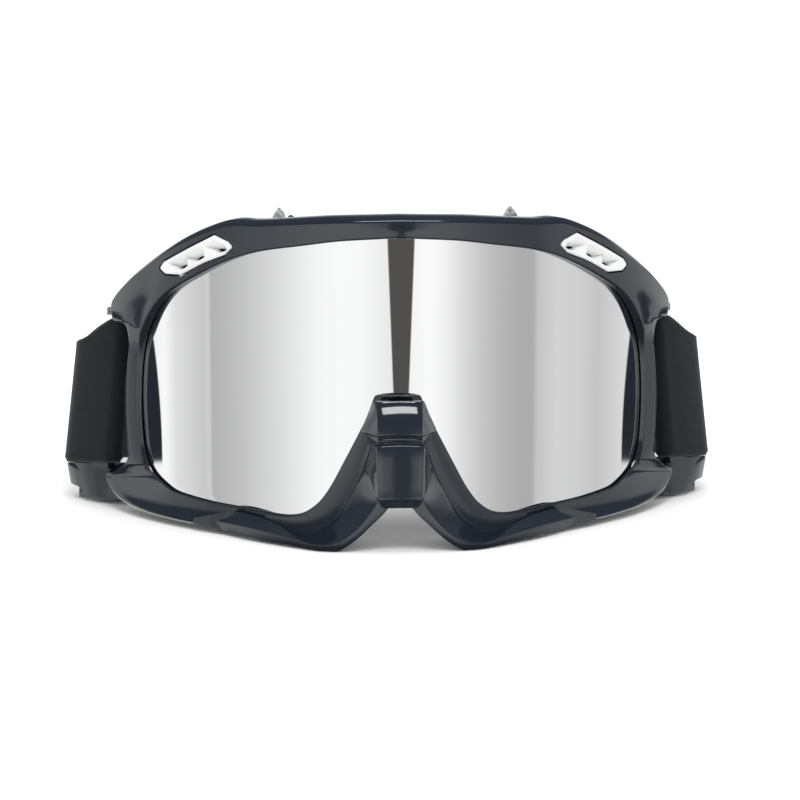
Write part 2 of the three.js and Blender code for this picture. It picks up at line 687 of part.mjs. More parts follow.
function strapSide() {
  const middle = (STRAP_LEVEL_Y + REAR_START_Y) / 2;
  return ribbon([[STRAP_X, STRAP_LEVEL_Y + GAP], [STRAP_X, middle], [STRAP_X, REAR_START_Y - GAP]]);
}

function strapReturn() {
  return ribbon([[RETURN_X, STRAP_LEVEL_Y + GAP], [RETURN_X, SLIDER_Y - 8]]);
}

// The sewn loop that holds the slider's centre bar
function strapHem() {
  return ribbon([
    [RETURN_X, SLIDER_Y - 8 + GAP],
    ...arc([BAR_X, SLIDER_Y], HEM_RADIUS, 0, Math.PI, 8),
    [BAR_X - HEM_RADIUS + 0.2, SLIDER_Y - 3],
    [RETURN_X - STRAP_THICKNESS - GAP, SLIDER_Y - 7.5],
    [RETURN_X - STRAP_THICKNESS - GAP, SLIDER_Y - 14],
  ]);
}

function strapRear() {
  const halfCircle = arc([0, 0], 1, 0, Math.PI, 40);
  const loop = halfCircle.map(([c, s]) => [STRAP_X * c, REAR_CENTRE_Y + REAR_DEPTH * s]);
  return ribbon([[STRAP_X, REAR_START_Y], ...loop, [-STRAP_X, REAR_START_Y]]);
}

function slider() {
  const reach = STRAP_HEIGHT / 2 + SLIDER_PLAY;
  const outer = STRAP_X + STRAP_THICKNESS / 2 + GAP;
  const [front, rear] = [SLIDER_Y - SLIDER_HALF, SLIDER_Y + SLIDER_HALF];
  const box = (low, high) => mappedBox(low, high, strapPoint);
  const rail = (low, high) => box([BAR_X - BAR / 2, front, low], [outer + BAR, rear, high]);
  const bar = (x, y, wide) => box([x, y - wide / 2, -reach - 1], [x + BAR, y + wide / 2, reach + 1]);
  return joined(
    rail(-reach - BAR, -reach),
    rail(reach, reach + BAR),
    bar(outer, front + 2, 4),
    bar(outer, rear - 2, 4),
    bar(BAR_X - BAR / 2, SLIDER_Y, 2.4),
  );
}

// ---------------------------------------------------------------- assembly

const goggles = new THREE.Group();

function add(name, geometry, finish) {
  const mesh = new THREE.Mesh(geometry, new THREE.MeshStandardMaterial(COLOURS[finish]));
  mesh.name = name;
  goggles.add(mesh);
}

function addPair(name, geometry, finish) {
  add(`${name}_right`, geometry, finish);
  add(`${name}_left`, mirrored(geometry), finish);
}

add('front_bezel', bezel(), 'shell');
add('lens', lens(), 'mirror');
add('nose_guard', noseGuard(), 'shell');
add('main_frame', mainFrame(), 'frame');
addPair('vent_insert', ventInsert(), 'vent');
addPair('vent_filter', ventFilter(), 'foam');
addPair('roof_filter', roofFilter(), 'filter');
addPair('floor_filter', floorFilter(), 'filter');
add('face_foam', padRing(GAP, GAP + FOAM_DEPTH, FLANGE, 0), 'foam');
add('foam_liner', padRing(LINER_START, LINER_START + LINER_DEPTH, 0, FLANGE), 'liner');
addPair('strap_wrap', strapWrap(), 'webbing');
addPair('strap_side', strapSide(), 'webbing');
addPair('strap_return', strapReturn(), 'webbing');
addPair('strap_hem', strapHem(), 'webbing');
addPair('strap_slider', slider(), 'frame');
add('strap_rear', strapRear(), 'webbing');

// The origin is the middle of the footprint, at table height
const extent = new THREE.Box3().setFromObject(goggles);
goggles.position.set(-(extent.min.x + extent.max.x) / 2, -(extent.min.y + extent.max.y) / 2, -extent.min.z);

const part = new THREE.Group();
part.add(goggles);

export default part;
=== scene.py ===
import math
import random

import bmesh
import bpy
import numpy as np
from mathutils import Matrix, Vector, noise


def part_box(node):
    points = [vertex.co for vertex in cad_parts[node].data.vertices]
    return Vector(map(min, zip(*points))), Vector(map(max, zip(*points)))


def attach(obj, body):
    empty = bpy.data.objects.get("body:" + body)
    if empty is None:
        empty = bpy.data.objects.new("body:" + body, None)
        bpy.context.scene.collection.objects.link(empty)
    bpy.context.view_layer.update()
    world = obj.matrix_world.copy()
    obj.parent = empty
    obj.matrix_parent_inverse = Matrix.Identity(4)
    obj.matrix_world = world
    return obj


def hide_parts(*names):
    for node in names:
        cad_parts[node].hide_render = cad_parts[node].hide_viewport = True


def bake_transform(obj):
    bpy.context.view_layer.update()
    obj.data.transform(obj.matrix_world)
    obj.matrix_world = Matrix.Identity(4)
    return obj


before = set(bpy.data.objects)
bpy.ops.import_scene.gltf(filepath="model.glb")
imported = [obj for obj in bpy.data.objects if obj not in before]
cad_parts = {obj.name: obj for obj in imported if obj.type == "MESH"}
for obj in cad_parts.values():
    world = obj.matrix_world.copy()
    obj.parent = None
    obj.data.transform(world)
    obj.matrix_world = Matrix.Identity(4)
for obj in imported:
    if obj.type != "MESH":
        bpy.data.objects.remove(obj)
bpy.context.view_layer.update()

MM = 0.001
LENS_RADIUS = 95.0
LENS_THICKNESS = 1.2
LENS_LAP = 2.8
GAP = 0.35
BEZEL_BACK = -4.0
FRAME_FRONT = BEZEL_BACK - GAP
WALL = 2.2
FLANGE = 9.0
FOAM_DEPTH = 12.0
LINER_DEPTH = 1.6
STRAP_HEIGHT = 45.0
STRAP_THICKNESS = 1.7
STRAP_MID = 34.4
STRAP_REF_Y = 60.0
STRAP_DROOP = 0.18
STRAP_LEVEL_Y = 112.0
STRAP_LEAN = 0.0012
STRAP_FRONT_X = 97.6
STRAP_X = 80.0
LAYER_PITCH = 2.4
RETURN_X = STRAP_X - LAYER_PITCH
POST_FRONT = (83.5, 51.5)
POST_REAR = (94.0, 63.0)
POST_THICKNESS = 2.6
POST_CUT = 7.5
BEND_START_Y = 67.0
REAR_CENTRE_Y = 162.0
REAR_DEPTH = 56.0
SLIDER_Y = 146.0
SLIDER_HALF = 10.0
SLIDER_PLAY = 0.4
BAR = 2.0
HEM_RADIUS = 2.8
BAR_X = RETURN_X - HEM_RADIUS

# The design frame has y = 0 at the front of the lens and z = 0 on the table
ORIGIN_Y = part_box("lens")[0].y / MM
ORIGIN_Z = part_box("front_bezel")[1].z / MM - 96.3

# Half of the rim from the top centre to the nose: lens opening, bezel edge and frame wall as
# (arc, height) on the lens cylinder, and the frame's rear edge as (x, y, z)
RIM = [
    ((0, 89.9), (0, 96.3), (0, 95.2), (0, 38, 86)),
    ((16, 88.9), (18.7, 95.8), (18.7, 94.7), (16, 38.6, 86.2)),
    ((27, 87.3), (31, 94.9), (31, 93.8), (27, 40, 86)),
    ((38, 85.5), (42, 94), (41.7, 92.9), (38, 42.8, 85.4)),
    ((46, 83.3), (49.6, 93.8), (49, 92.4), (46.5, 46, 84)),
    ((54, 80), (57.8, 91), (57, 89.6), (54.5, 50.5, 81)),
    ((61, 76.5), (66, 87.2), (65, 86), (61.5, 55.6, 77.6)),
    ((67, 73.3), (74, 82.7), (72.6, 81.6), (67, 60.6, 73.4)),
    ((71.5, 70.6), (82, 77.8), (79.5, 76.4), (71, 65, 68.8)),
    ((75.3, 67.5), (90, 72.6), (84.5, 70.6), (73.6, 68.6, 63.8)),
    ((78.2, 64.5), (99.7, 64.5), (87.2, 65), (75.2, 71, 58.8)),
    ((80.8, 61), (99.2, 59), (88.4, 60), (76.2, 72.8, 53.8)),
    ((83, 57.2), (92.2, 58.8), (89, 55.6), (76.8, 73.8, 48.6)),
    ((85, 52), (90.5, 53), (89.6, 51), (77, 74.3, 43.4)),
    ((86.3, 46), (91.6, 46), (90.4, 46), (77, 74.5, 38.6)),
    ((87, 38), (93, 38), (91.4, 38), (76.9, 74.4, 33.8)),
    ((86.9, 30), (93, 30), (91.4, 30), (76.5, 74, 29)),
    ((86, 22.5), (92.4, 22.5), (91, 22.5), (75.4, 72.8, 24)),
    ((84.4, 18), (92.6, 16.6), (90.4, 16), (73.6, 71, 19.6)),
    ((82, 15), (99, 12.3), (89, 10.8), (71.2, 69, 16.2)),
    ((79.8, 13.4), (106.9, 9.4), (87, 7.6), (68.4, 66.8, 13.8)),
    ((76.8, 11.8), (104, 6.2), (84, 5.4), (65.2, 64.4, 12)),
    ((72.4, 10), (97, 3.6), (79, 4), (61, 61.6, 10.6)),
    ((66, 9.2), (86, 2.3), (72, 3.4), (55.6, 58.4, 9.6)),
    ((58, 8.5), (74, 1.9), (64, 3), (49.6, 55.2, 9)),
    ((49, 8.1), (59, 1.6), (54, 2.7), (43.4, 52, 9)),
    ((40, 7.4), (44, 1.1), (43, 2.3), (37.4, 48.8, 9.8)),
    ((33, 7), (34, 1), (33.6, 2.1), (31.6, 45, 11.6)),
    ((28, 8), (27, 1.6), (27.2, 2.7), (27, 41.4, 14.6)),
    ((23.4, 11.4), (21.4, 4.2), (21.8, 5.2), (23.4, 38, 18.6)),
    ((19.8, 16.4), (16.8, 9), (17.2, 10), (20.2, 34.8, 23.4)),
    ((16.3, 23), (12.8, 16.2), (13.3, 17.1), (17, 31.8, 28.4)),
    ((12.7, 30), (9.4, 23.8), (9.8, 24.7), (13.6, 29.2, 33.4)),
    ((9.8, 35.7), (7, 29), (7.3, 30), (10, 27.2, 38)),
    ((7.3, 40.2), (4.4, 32.2), (4.6, 33.2), (5.6, 25.8, 41.8)),
    ((0, 41.5), (0, 33.2), (0, 34.2), (0, 25, 43.4)),
]
KEYS = ("open", "edge", "wall", "face")
STEP_STATION = 18.35     # where the side bar ends over the lower rim

VENT_TOP = [(48.4, 86.4), (49.4, 87.4), (54, 89.1), (63, 84.6), (72.6, 79.6), (73.9, 78)]
VENT_BOTTOM = [(48.4, 85.8), (50.6, 83.7), (58, 80.7), (66, 76.5), (72, 76.2), (73.9, 77.4)]
VENT_FRONT = 3.75
VENT_BACK = 0.9
SCOOPS = ((52.7, 1.7), (60.2, 1.3), (66.2, 2.1))    # where each hole is, and half its length


# ------------------------------------------------------------------ small helpers

def place(x, y, z):
    """A point of the design frame, in millimetres, as a point of the row frame in metres."""
    return Vector((x * MM, (y + ORIGIN_Y) * MM, (z + ORIGIN_Z) * MM))


def bend(arc, height, out):
    angle = arc / LENS_RADIUS
    r = LENS_RADIUS + out
    return (r * math.sin(angle), LENS_RADIUS - r * math.cos(angle), height)


def strap_point(x, y, above):
    middle = STRAP_MID - STRAP_DROOP * (min(y, STRAP_LEVEL_Y) - STRAP_REF_Y)
    return (x * (1 - STRAP_LEAN * above), y, middle + above)


def lerp(a, b, f):
    return a + (b - a) * f


def smooth(f):
    f = min(max(f, 0.0), 1.0)
    return f * f * (3 - 2 * f)


def make_object(name, points, faces, sharp=None):
    """A mesh object from design-frame points. Edges sharper than `sharp` degrees stay crisp."""
    mesh = bpy.data.meshes.new(name)
    mesh.from_pydata([place(*p) for p in points], [], faces)
    obj = bpy.data.objects.new(name, mesh)
    bpy.context.scene.collection.objects.link(obj)
    tidy_mesh(mesh, sharp)
    return obj


def tidy_mesh(mesh, sharp=None):
    bm = bmesh.new()
    bm.from_mesh(mesh)
    bmesh.ops.remove_doubles(bm, verts=bm.verts, dist=1e-7)
    bmesh.ops.recalc_face_normals(bm, faces=bm.faces)
    for face in bm.faces:
        face.smooth = True
    if sharp is not None:
        limit = math.radians(sharp)
        for edge in bm.edges:
            edge.smooth = not (edge.is_manifold and edge.calc_face_angle(0) > limit)
    bm.to_mesh(mesh)
    bm.free()
    mesh.update()


def loft_data(sections, ring=False):
    sides = len(sections[0])
    points = [p for section in sections for p in section]
    faces = []
    steps = len(sections) if ring else len(sections) - 1
    for i in range(steps):
        here, there = i * sides, ((i + 1) % len(sections)) * sides
        for j in range(sides):
            k = (j + 1) % sides
            faces.append((here + j, there + j, there + k, here + k))
    if not ring:
        last = (len(sections) - 1) * sides
        faces.append(tuple(range(sides)))
        faces.append(tuple(last + j for j in reversed(range(sides))))
    return points, faces


def slab_faces(columns, rows):
    """Faces round two grids of points, one behind the other."""
    stride = rows + 1
    count = (columns + 1) * stride
    faces = []
    for i in range(columns):
        for j in range(rows):
            a, b = i * stride + j, (i + 1) * stride + j
            faces.append((a, b, b + 1, a + 1))
            faces.append((count + a, count + a + 1, count + b + 1, count + b))
        for j in (0, rows):
            a, b = i * stride + j, (i + 1) * stride + j
            faces.append((a, b, count + b, count + a))
    for i in (0, columns):
        for j in range(rows):
            a = i * stride + j
            faces.append((a, a + 1, count + a + 1, count + a))
    return faces


def loft(name, sections, ring=False, sharp=None):
    points, faces = loft_data(sections, ring)
    return make_object(name, points, faces, sharp)


def side_name(side):
    return "right" if side > 0 else "left"


def mirrored(points):
    return [(-x, y, z) for x, y, z in points]


def apply_modifiers(obj):
    depsgraph = bpy.context.evaluated_depsgraph_get()
    mesh = bpy.data.meshes.new_from_object(obj.evaluated_get(depsgraph))
    obj.modifiers.clear()
    old = obj.data
    obj.data = mesh
    bpy.data.meshes.remove(old)


def split_warped(mesh):
    """Triangles in place of the faces with many sides, which may be warped."""
    bm = bmesh.new()
    bm.from_mesh(mesh)
    bmesh.ops.triangulate(bm, faces=[f for f in bm.faces if len(f.verts) > 4])
    bm.to_mesh(mesh)
    bm.free()


def boolean(obj, other, operation):
    for each in (obj, other):
        split_warped(each.data)
    modifier = obj.modifiers.new(operation, "BOOLEAN")
    modifier.operation = operation
    modifier.solver = "EXACT"
    modifier.object = other
    apply_modifiers(obj)
    mesh = other.data
    bpy.data.objects.remove(other)
    bpy.data.meshes.remove(mesh)


def bevel(obj, width, segments=2, angle=30):
    modifier = obj.modifiers.new("bevel", "BEVEL")
    modifier.width = width * MM
    modifier.segments = segments
    modifier.limit_method = "ANGLE"
    modifier.angle_limit = math.radians(angle)
    modifier.harden_normals = False
    modifier.use_clamp_overlap = True
    apply_modifiers(obj)


def height_at(outline, arc):
    return float(np.interp(arc, [p[0] for p in outline], [p[1] for p in outline]))


# ------------------------------------------------------------------ rim stations

def spline(points, t):
    i = min(int(t), len(points) - 2)
    f = t - i
    a, b = np.array(points[max(i - 1, 0)]), np.array(points[i])
    c, d = np.array(points[i + 1]), np.array(points[min(i + 2, len(points) - 1)])
    into, out = (c - a) * 0.45, (d - b) * 0.45
    return (
        b * (2 * f**3 - 3 * f**2 + 1) + into * (f**3 - 2 * f**2 + f)
        + c * (3 * f**2 - 2 * f**3) + out * (f**3 - f**2)
    )


def rim_stations(per_span):
    columns = {key: [tuple(map(float, row[i])) for row in RIM] for i, key in enumerate(KEYS)}
    half = []
    for i in range((len(RIM) - 1) * per_span + 1):
        t = i / per_span
        station = {key: spline(columns[key], t) for key in KEYS}
        station["t"] = t
        half.append(station)
    other = []
    for station in reversed(half[1:-1]):
        flipped = {key: station[key] * np.array([-1] + [1] * (len(station[key]) - 1)) for key in KEYS}
        flipped["t"] = station["t"]
        other.append(flipped)
    return half + other


RIM_FINE = rim_stations(6)


def beside(station, key, away):
    a, b = station["open"], station[key]
    share = away / float(np.hypot(*(b - a)))
    return lerp(a[0], b[0], share), lerp(a[1], b[1], share)


def width_to(station, key):
    return float(np.hypot(*(station[key] - station["open"])))


def inward_at(stations, index):
    count = len(stations)
    before, after = stations[index - 1]["face"], stations[(index + 1) % count]["face"]
    along = np.array([after[0] - before[0], after[2] - before[2]])
    along = along / np.hypot(*along)
    return np.array([along[1], 0.0, -along[0]])


# ------------------------------------------------------------------ materials

def node_material(name):
    material = bpy.data.materials.new(name)
    material.use_nodes = True
    tree = material.node_tree
    return material, tree, tree.nodes["Principled BSDF"]


def add_node(tree, kind, **settings):
    node = tree.nodes.new(kind)
    for key, value in settings.items():
        if key in node.inputs.keys():
            node.inputs[key].default_value = value
        else:
            setattr(node, key, value)
    return node


def object_coords(tree):
    return add_node(tree, "ShaderNodeTexCoord").outputs["Object"]


def noise_node(tree, scale, detail=2.0, roughness=0.5, stretch=None):
    texture = add_node(tree, "ShaderNodeTexNoise", Scale=scale, Detail=detail, Roughness=roughness)
    coords = object_coords(tree)
    if stretch:
        mapping = add_node(tree, "ShaderNodeMapping")
        mapping.inputs["Scale"].default_value = stretch
        tree.links.new(coords, mapping.inputs["Vector"])
        coords = mapping.outputs["Vector"]
    tree.links.new(coords, texture.inputs["Vector"])
    return texture


def ramp(tree, source, stops):
    node = add_node(tree, "ShaderNodeValToRGB")
    elements = node.color_ramp.elements
    while len(elements) < len(stops):
        elements.new(0.5)
    for element, (position, colour) in zip(elements, stops):
        element.position = position
        element.color = (*colour, 1) if len(colour) == 3 else colour
    tree.links.new(source, node.inputs["Fac"])
    return node.outputs["Color"]


def mix_colour(tree, factor, first, second, **settings):
    """Two colours mixed: each input is a number, a colour or another node's output."""
    node = add_node(tree, "ShaderNodeMix", data_type="RGBA", **settings)
    for index, value in ((0, factor), (6, first), (7, second)):
        if isinstance(value, bpy.types.NodeSocket):
            tree.links.new(value, node.inputs[index])
        else:
            node.inputs[index].default_value = value
    return node.outputs[2]


def feed(tree, shader, values):
    """Node outputs are linked to the shader's inputs, and numbers are set on them."""
    for name, value in values.items():
        if isinstance(value, bpy.types.NodeSocket):
            tree.links.new(value, shader.inputs[name])
        else:
            shader.inputs[name].default_value = value


def grey(value):
    return (value, value, value)


def bump(tree, shader, height, strength, distance, before=None):
    node = add_node(tree, "ShaderNodeBump", Strength=strength, Distance=distance)
    tree.links.new(height, node.inputs["Height"])
    if before is not None:
        tree.links.new(before, node.inputs["Normal"])
    tree.links.new(node.outputs["Normal"], shader.inputs["Normal"])
    return node.outputs["Normal"]


def gloss_shell():
    material, tree, shader = node_material("gloss_shell")
    broad = noise_node(tree, 28, 3)
    fine = noise_node(tree, 900, 2)
    navy = [(0.3, (0.010, 0.014, 0.020)), (0.7, (0.013, 0.0175, 0.024))]
    colour = ramp(tree, broad.outputs["Fac"], navy)
    rough = ramp(tree, broad.outputs["Fac"], [(0.3, grey(0.07)), (0.75, grey(0.12))])
    feed(tree, shader, {
        "Base Color": colour, "Roughness": rough, "IOR": 1.56, "Specular IOR Level": 0.62,
        "Coat Weight": 0.35, "Coat Roughness": 0.03,
    })
    bump(tree, shader, fine.outputs["Fac"], 0.04, 0.00003)
    return material


def satin_frame():
    material, tree, shader = node_material("satin_frame")
    grain = noise_node(tree, 2600, 3, 0.6)
    broad = noise_node(tree, 40, 2)
    colour = ramp(tree, broad.outputs["Fac"], [(0.3, (0.018, 0.019, 0.022)), (0.7, (0.027, 0.028, 0.032))])
    rough = ramp(tree, grain.outputs["Fac"], [(0.3, grey(0.42)), (0.7, grey(0.58))])
    feed(tree, shader, {
        "Base Color": colour, "Roughness": rough,
    })
    bump(tree, shader, grain.outputs["Fac"], 0.25, 0.00008)
    return material


def mirror_front():
    material, tree, shader = node_material("mirror_front")
    haze = noise_node(tree, 9, 2)
    colour = ramp(tree, haze.outputs["Fac"], [(0.3, (0.93, 0.935, 0.94)), (0.7, (0.96, 0.96, 0.96))])
    rough = ramp(tree, haze.outputs["Fac"], [(0.3, grey(0.012)), (0.8, grey(0.03))])
    feed(tree, shader, {
        "Base Color": colour, "Roughness": rough, "Metallic": 1,
    })
    return material


def smoke_back():
    material, tree, shader = node_material("smoke_back")
    haze = noise_node(tree, 14, 2)
    colour = ramp(tree, haze.outputs["Fac"], [(0.3, (0.05, 0.052, 0.055)), (0.7, (0.075, 0.077, 0.08))])
    feed(tree, shader, {
        "Base Color": colour, "Roughness": 0.06, "Coat Weight": 0.5, "Coat Roughness": 0.03,
    })
    return material


def white_vent():
    material, tree, shader = node_material("white_vent")
    broad = noise_node(tree, 60, 3)
    fine = noise_node(tree, 2200, 2)
    colour = ramp(tree, broad.outputs["Fac"], [(0.3, (0.70, 0.705, 0.70)), (0.7, (0.75, 0.755, 0.75))])
    feed(tree, shader, {
        "Base Color": colour, "Roughness": 0.34, "Subsurface Weight": 0.08, "Subsurface Scale": 0.001,
    })
    bump(tree, shader, fine.outputs["Fac"], 0.08, 0.00004)
    return material


def cell_foam(name, dark, light, scale):
    material, tree, shader = node_material(name)
    cells = add_node(tree, "ShaderNodeTexVoronoi", Scale=scale)
    tree.links.new(object_coords(tree), cells.inputs["Vector"])
    broad = noise_node(tree, 70, 4)
    # Each cell is painted dark in its middle and light at its rim, over the pits the bump makes: painted
    # shade in the foam's pores
    colour = ramp(tree, cells.outputs["Distance"], [(0.12, dark), (0.6, light)])
    shade = ramp(tree, broad.outputs["Fac"], [(0.3, grey(0.75)), (0.7, grey(1.0))])
    mixed = mix_colour(tree, 0.6, colour, shade, blend_type="MULTIPLY")
    feed(tree, shader, {
        "Base Color": mixed, "Roughness": 0.96, "Specular IOR Level": 0.15,
    })
    bump(tree, shader, cells.outputs["Distance"], 0.9, 0.0004)
    return material


def fleece():
    material, tree, shader = node_material("fleece")
    nap = noise_node(tree, 1500, 4, 0.7)
    clumps = noise_node(tree, 160, 3, 0.6)
    # Darker where the clumps' bump sinks: partly random tone, partly painted shade between the clumps
    colour = ramp(tree, clumps.outputs["Fac"], [(0.3, (0.030, 0.031, 0.036)), (0.7, (0.060, 0.062, 0.068))])
    feed(tree, shader, {
        "Base Color": colour, "Roughness": 1.0, "Sheen Weight": 0.5, "Sheen Roughness": 0.5,
        "Specular IOR Level": 0.1,
    })
    first = bump(tree, shader, clumps.outputs["Fac"], 0.5, 0.0005)
    bump(tree, shader, nap.outputs["Fac"], 0.8, 0.0002, first)
    return material


def webbing():
    """Knitted elastic webbing: fine ribs across the band with painted shade in the grooves between them, a
    knit grain, and a soft sheen.
    """
    material, tree, shader = node_material("webbing")
    uv = add_node(tree, "ShaderNodeUVMap", uv_map="band")
    ribs = add_node(tree, "ShaderNodeTexWave", wave_type="BANDS", bands_direction="X", Scale=1.0)
    rows = add_node(tree, "ShaderNodeTexWave", wave_type="BANDS", bands_direction="Y", Scale=1.0)
    for node, density in ((ribs, 0.75), (rows, 0.62)):
        node.inputs["Scale"].default_value = density
        node.inputs["Distortion"].default_value = 0.6
        node.inputs["Detail"].default_value = 2.0
        node.inputs["Detail Scale"].default_value = 2.0
        tree.links.new(uv.outputs["UV"], node.inputs["Vector"])
    knit = add_node(tree, "ShaderNodeMath", operation="MULTIPLY")
    tree.links.new(ribs.outputs["Fac"], knit.inputs[0])
    tree.links.new(rows.outputs["Fac"], knit.inputs[1])
    broad = noise_node(tree, 55, 3)
    grain = noise_node(tree, 1300, 3, 0.7)
    # The knit is painted darker where its bump sinks between ribs and rows: painted shade in the grooves
    colour = ramp(tree, knit.outputs[0], [(0.05, (0.006, 0.008, 0.0115)), (0.75, (0.0105, 0.0135, 0.018))])
    shade = ramp(tree, broad.outputs["Fac"], [(0.3, grey(0.8)), (0.7, grey(1.0))])
    mixed = mix_colour(tree, 0.5, colour, shade, blend_type="MULTIPLY")
    feed(tree, shader, {
        "Base Color": mixed, "Roughness": 0.9, "Specular IOR Level": 0.25, "Sheen Weight": 0.1,
        "Sheen Roughness": 0.45,
    })
    first = bump(tree, shader, knit.outputs[0], 0.45, 0.00012)
    bump(tree, shader, grain.outputs["Fac"], 0.5, 0.00012, first)
    return material


def thread():
    material, tree, shader = node_material("thread")
    twist = noise_node(tree, 3000, 2)
    colour = ramp(tree, twist.outputs["Fac"], [(0.3, (0.05, 0.054, 0.06)), (0.7, (0.09, 0.095, 0.1))])
    feed(tree, shader, {
        "Base Color": colour, "Roughness": 0.7, "Sheen Weight": 0.3,
    })
    return material


def silicone():
    material, tree, shader = node_material("silicone")
    broad = noise_node(tree, 90, 2)
    colour = ramp(tree, broad.outputs["Fac"], [(0.3, (0.10, 0.105, 0.11)), (0.7, (0.14, 0.145, 0.15))])
    feed(tree, shader, {
        "Base Color": colour, "Roughness": 0.28, "Subsurface Weight": 0.15, "Subsurface Scale": 0.001,
    })
    return material


def acetal():
    material, tree, shader = node_material("acetal")
    grain = noise_node(tree, 1800, 2)
    broad = noise_node(tree, 45, 2)
    colour = ramp(tree, broad.outputs["Fac"], [(0.3, (0.014, 0.015, 0.017)), (0.7, (0.022, 0.023, 0.026))])
    rough = ramp(tree, broad.outputs["Fac"], [(0.3, grey(0.3)), (0.7, grey(0.42))])
    feed(tree, shader, {
        "Base Color": colour, "Roughness": rough,
    })
    bump(tree, shader, grain.outputs["Fac"], 0.12, 0.00005)
    return material


def clear_filter():
    """The grey reticulated foam that shows above the brow."""
    return cell_foam("filter_foam", (0.16, 0.165, 0.175), (0.62, 0.63, 0.65), 900)


SHELL = gloss_shell()
SATIN = satin_frame()
MIRROR = mirror_front()
SMOKE = smoke_back()
WHITE = white_vent()
FOAM = cell_foam("face_foam", (0.010, 0.010, 0.012), (0.045, 0.046, 0.050), 1100)
FILTER = clear_filter()
FLEECE = fleece()
WEBBING = webbing()
THREAD = thread()
SILICONE = silicone()
ACETAL = acetal()


def finish_piece(obj, material, body="root", nodes=()):
    if material is not None:
        obj.data.materials.clear()
        obj.data.materials.append(material)
    if nodes:
        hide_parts(*nodes)
    if body:
        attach(obj, body)
    return obj


# ------------------------------------------------------------------ camera, light and floor

def make_camera():
    """The view that the goggles are seen from: a little above them and a touch to one side."""
    azimuth, elevation, distance = math.radians(-2.8), math.radians(11.0), 940.0
    target = (2.45, 40.0, 34.4)
    back = Vector((
        math.sin(azimuth) * math.cos(elevation),
        -math.cos(azimuth) * math.cos(elevation),
        math.sin(elevation),
    ))
    data = bpy.data.cameras.new("camera")
    data.sensor_width = 36
    data.lens = 139.3
    data.clip_start, data.clip_end = 0.05, 20
    camera = bpy.data.objects.new("camera", data)
    bpy.context.scene.collection.objects.link(camera)
    camera.location = place(*target) + back * distance * MM
    camera.rotation_mode = "QUATERNION"
    camera.rotation_quaternion = (-back).to_track_quat("-Z", "Y")
    bpy.context.scene.camera = camera


def make_floor():
    mesh = bpy.data.meshes.new("floor")
    half = 4.0
    corners = [(-half, -half, 0), (half, -half, 0), (half, half, 0), (-half, half, 0)]
    mesh.from_pydata(corners, [], [(0, 1, 2, 3)])
    floor = bpy.data.objects.new("floor", mesh)
    floor.location.z = -0.0001
    bpy.context.scene.collection.objects.link(floor)
    material, tree, shader = node_material("floor_white")
    feed(tree, shader, {
        "Base Color": (0.93, 0.93, 0.93, 1), "Roughness": 0.8, "Specular IOR Level": 0.1,
    })
    mesh.materials.append(material)
    floor.visible_glossy = False


# What the gloss surfaces see of the studio, by the direction it is seen in: degrees to the
# side of the front, and how bright the white sheets are there
STUDIO = [
    (-118, 0.90), (-104, 0.85), (-94, 1.0), (-88, 0.78), (-82, 0.70), (-74, 0.60), (-71.5, 0.66),
    (-70.5, 0.47), (-58, 0.56), (-50, 0.66), (-43, 0.74), (-35, 0.86), (-27, 0.97), (-19, 1.0),
    (-11, 0.99), (0, 0.86), (11, 0.99), (16, 1.0), (21, 0.90), (27, 0.74), (34, 0.60), (41, 0.50),
    (49, 0.44), (55, 0.43), (57, 0.58), (66, 0.68), (76, 0.65), (86, 0.58), (104, 0.75), (118, 0.9),
]
SLOT_AZIMUTH = 3.8       # where the dark gap between the sheets is, in degrees
SLOT_TOP = 5.0           # half its width at the lens's top
SLOT_TOP_ELEVATION = -8.04
SLOT_TAPER = 0.75        # degrees narrower for each degree lower
CLOTH_CENTRE = 2.2


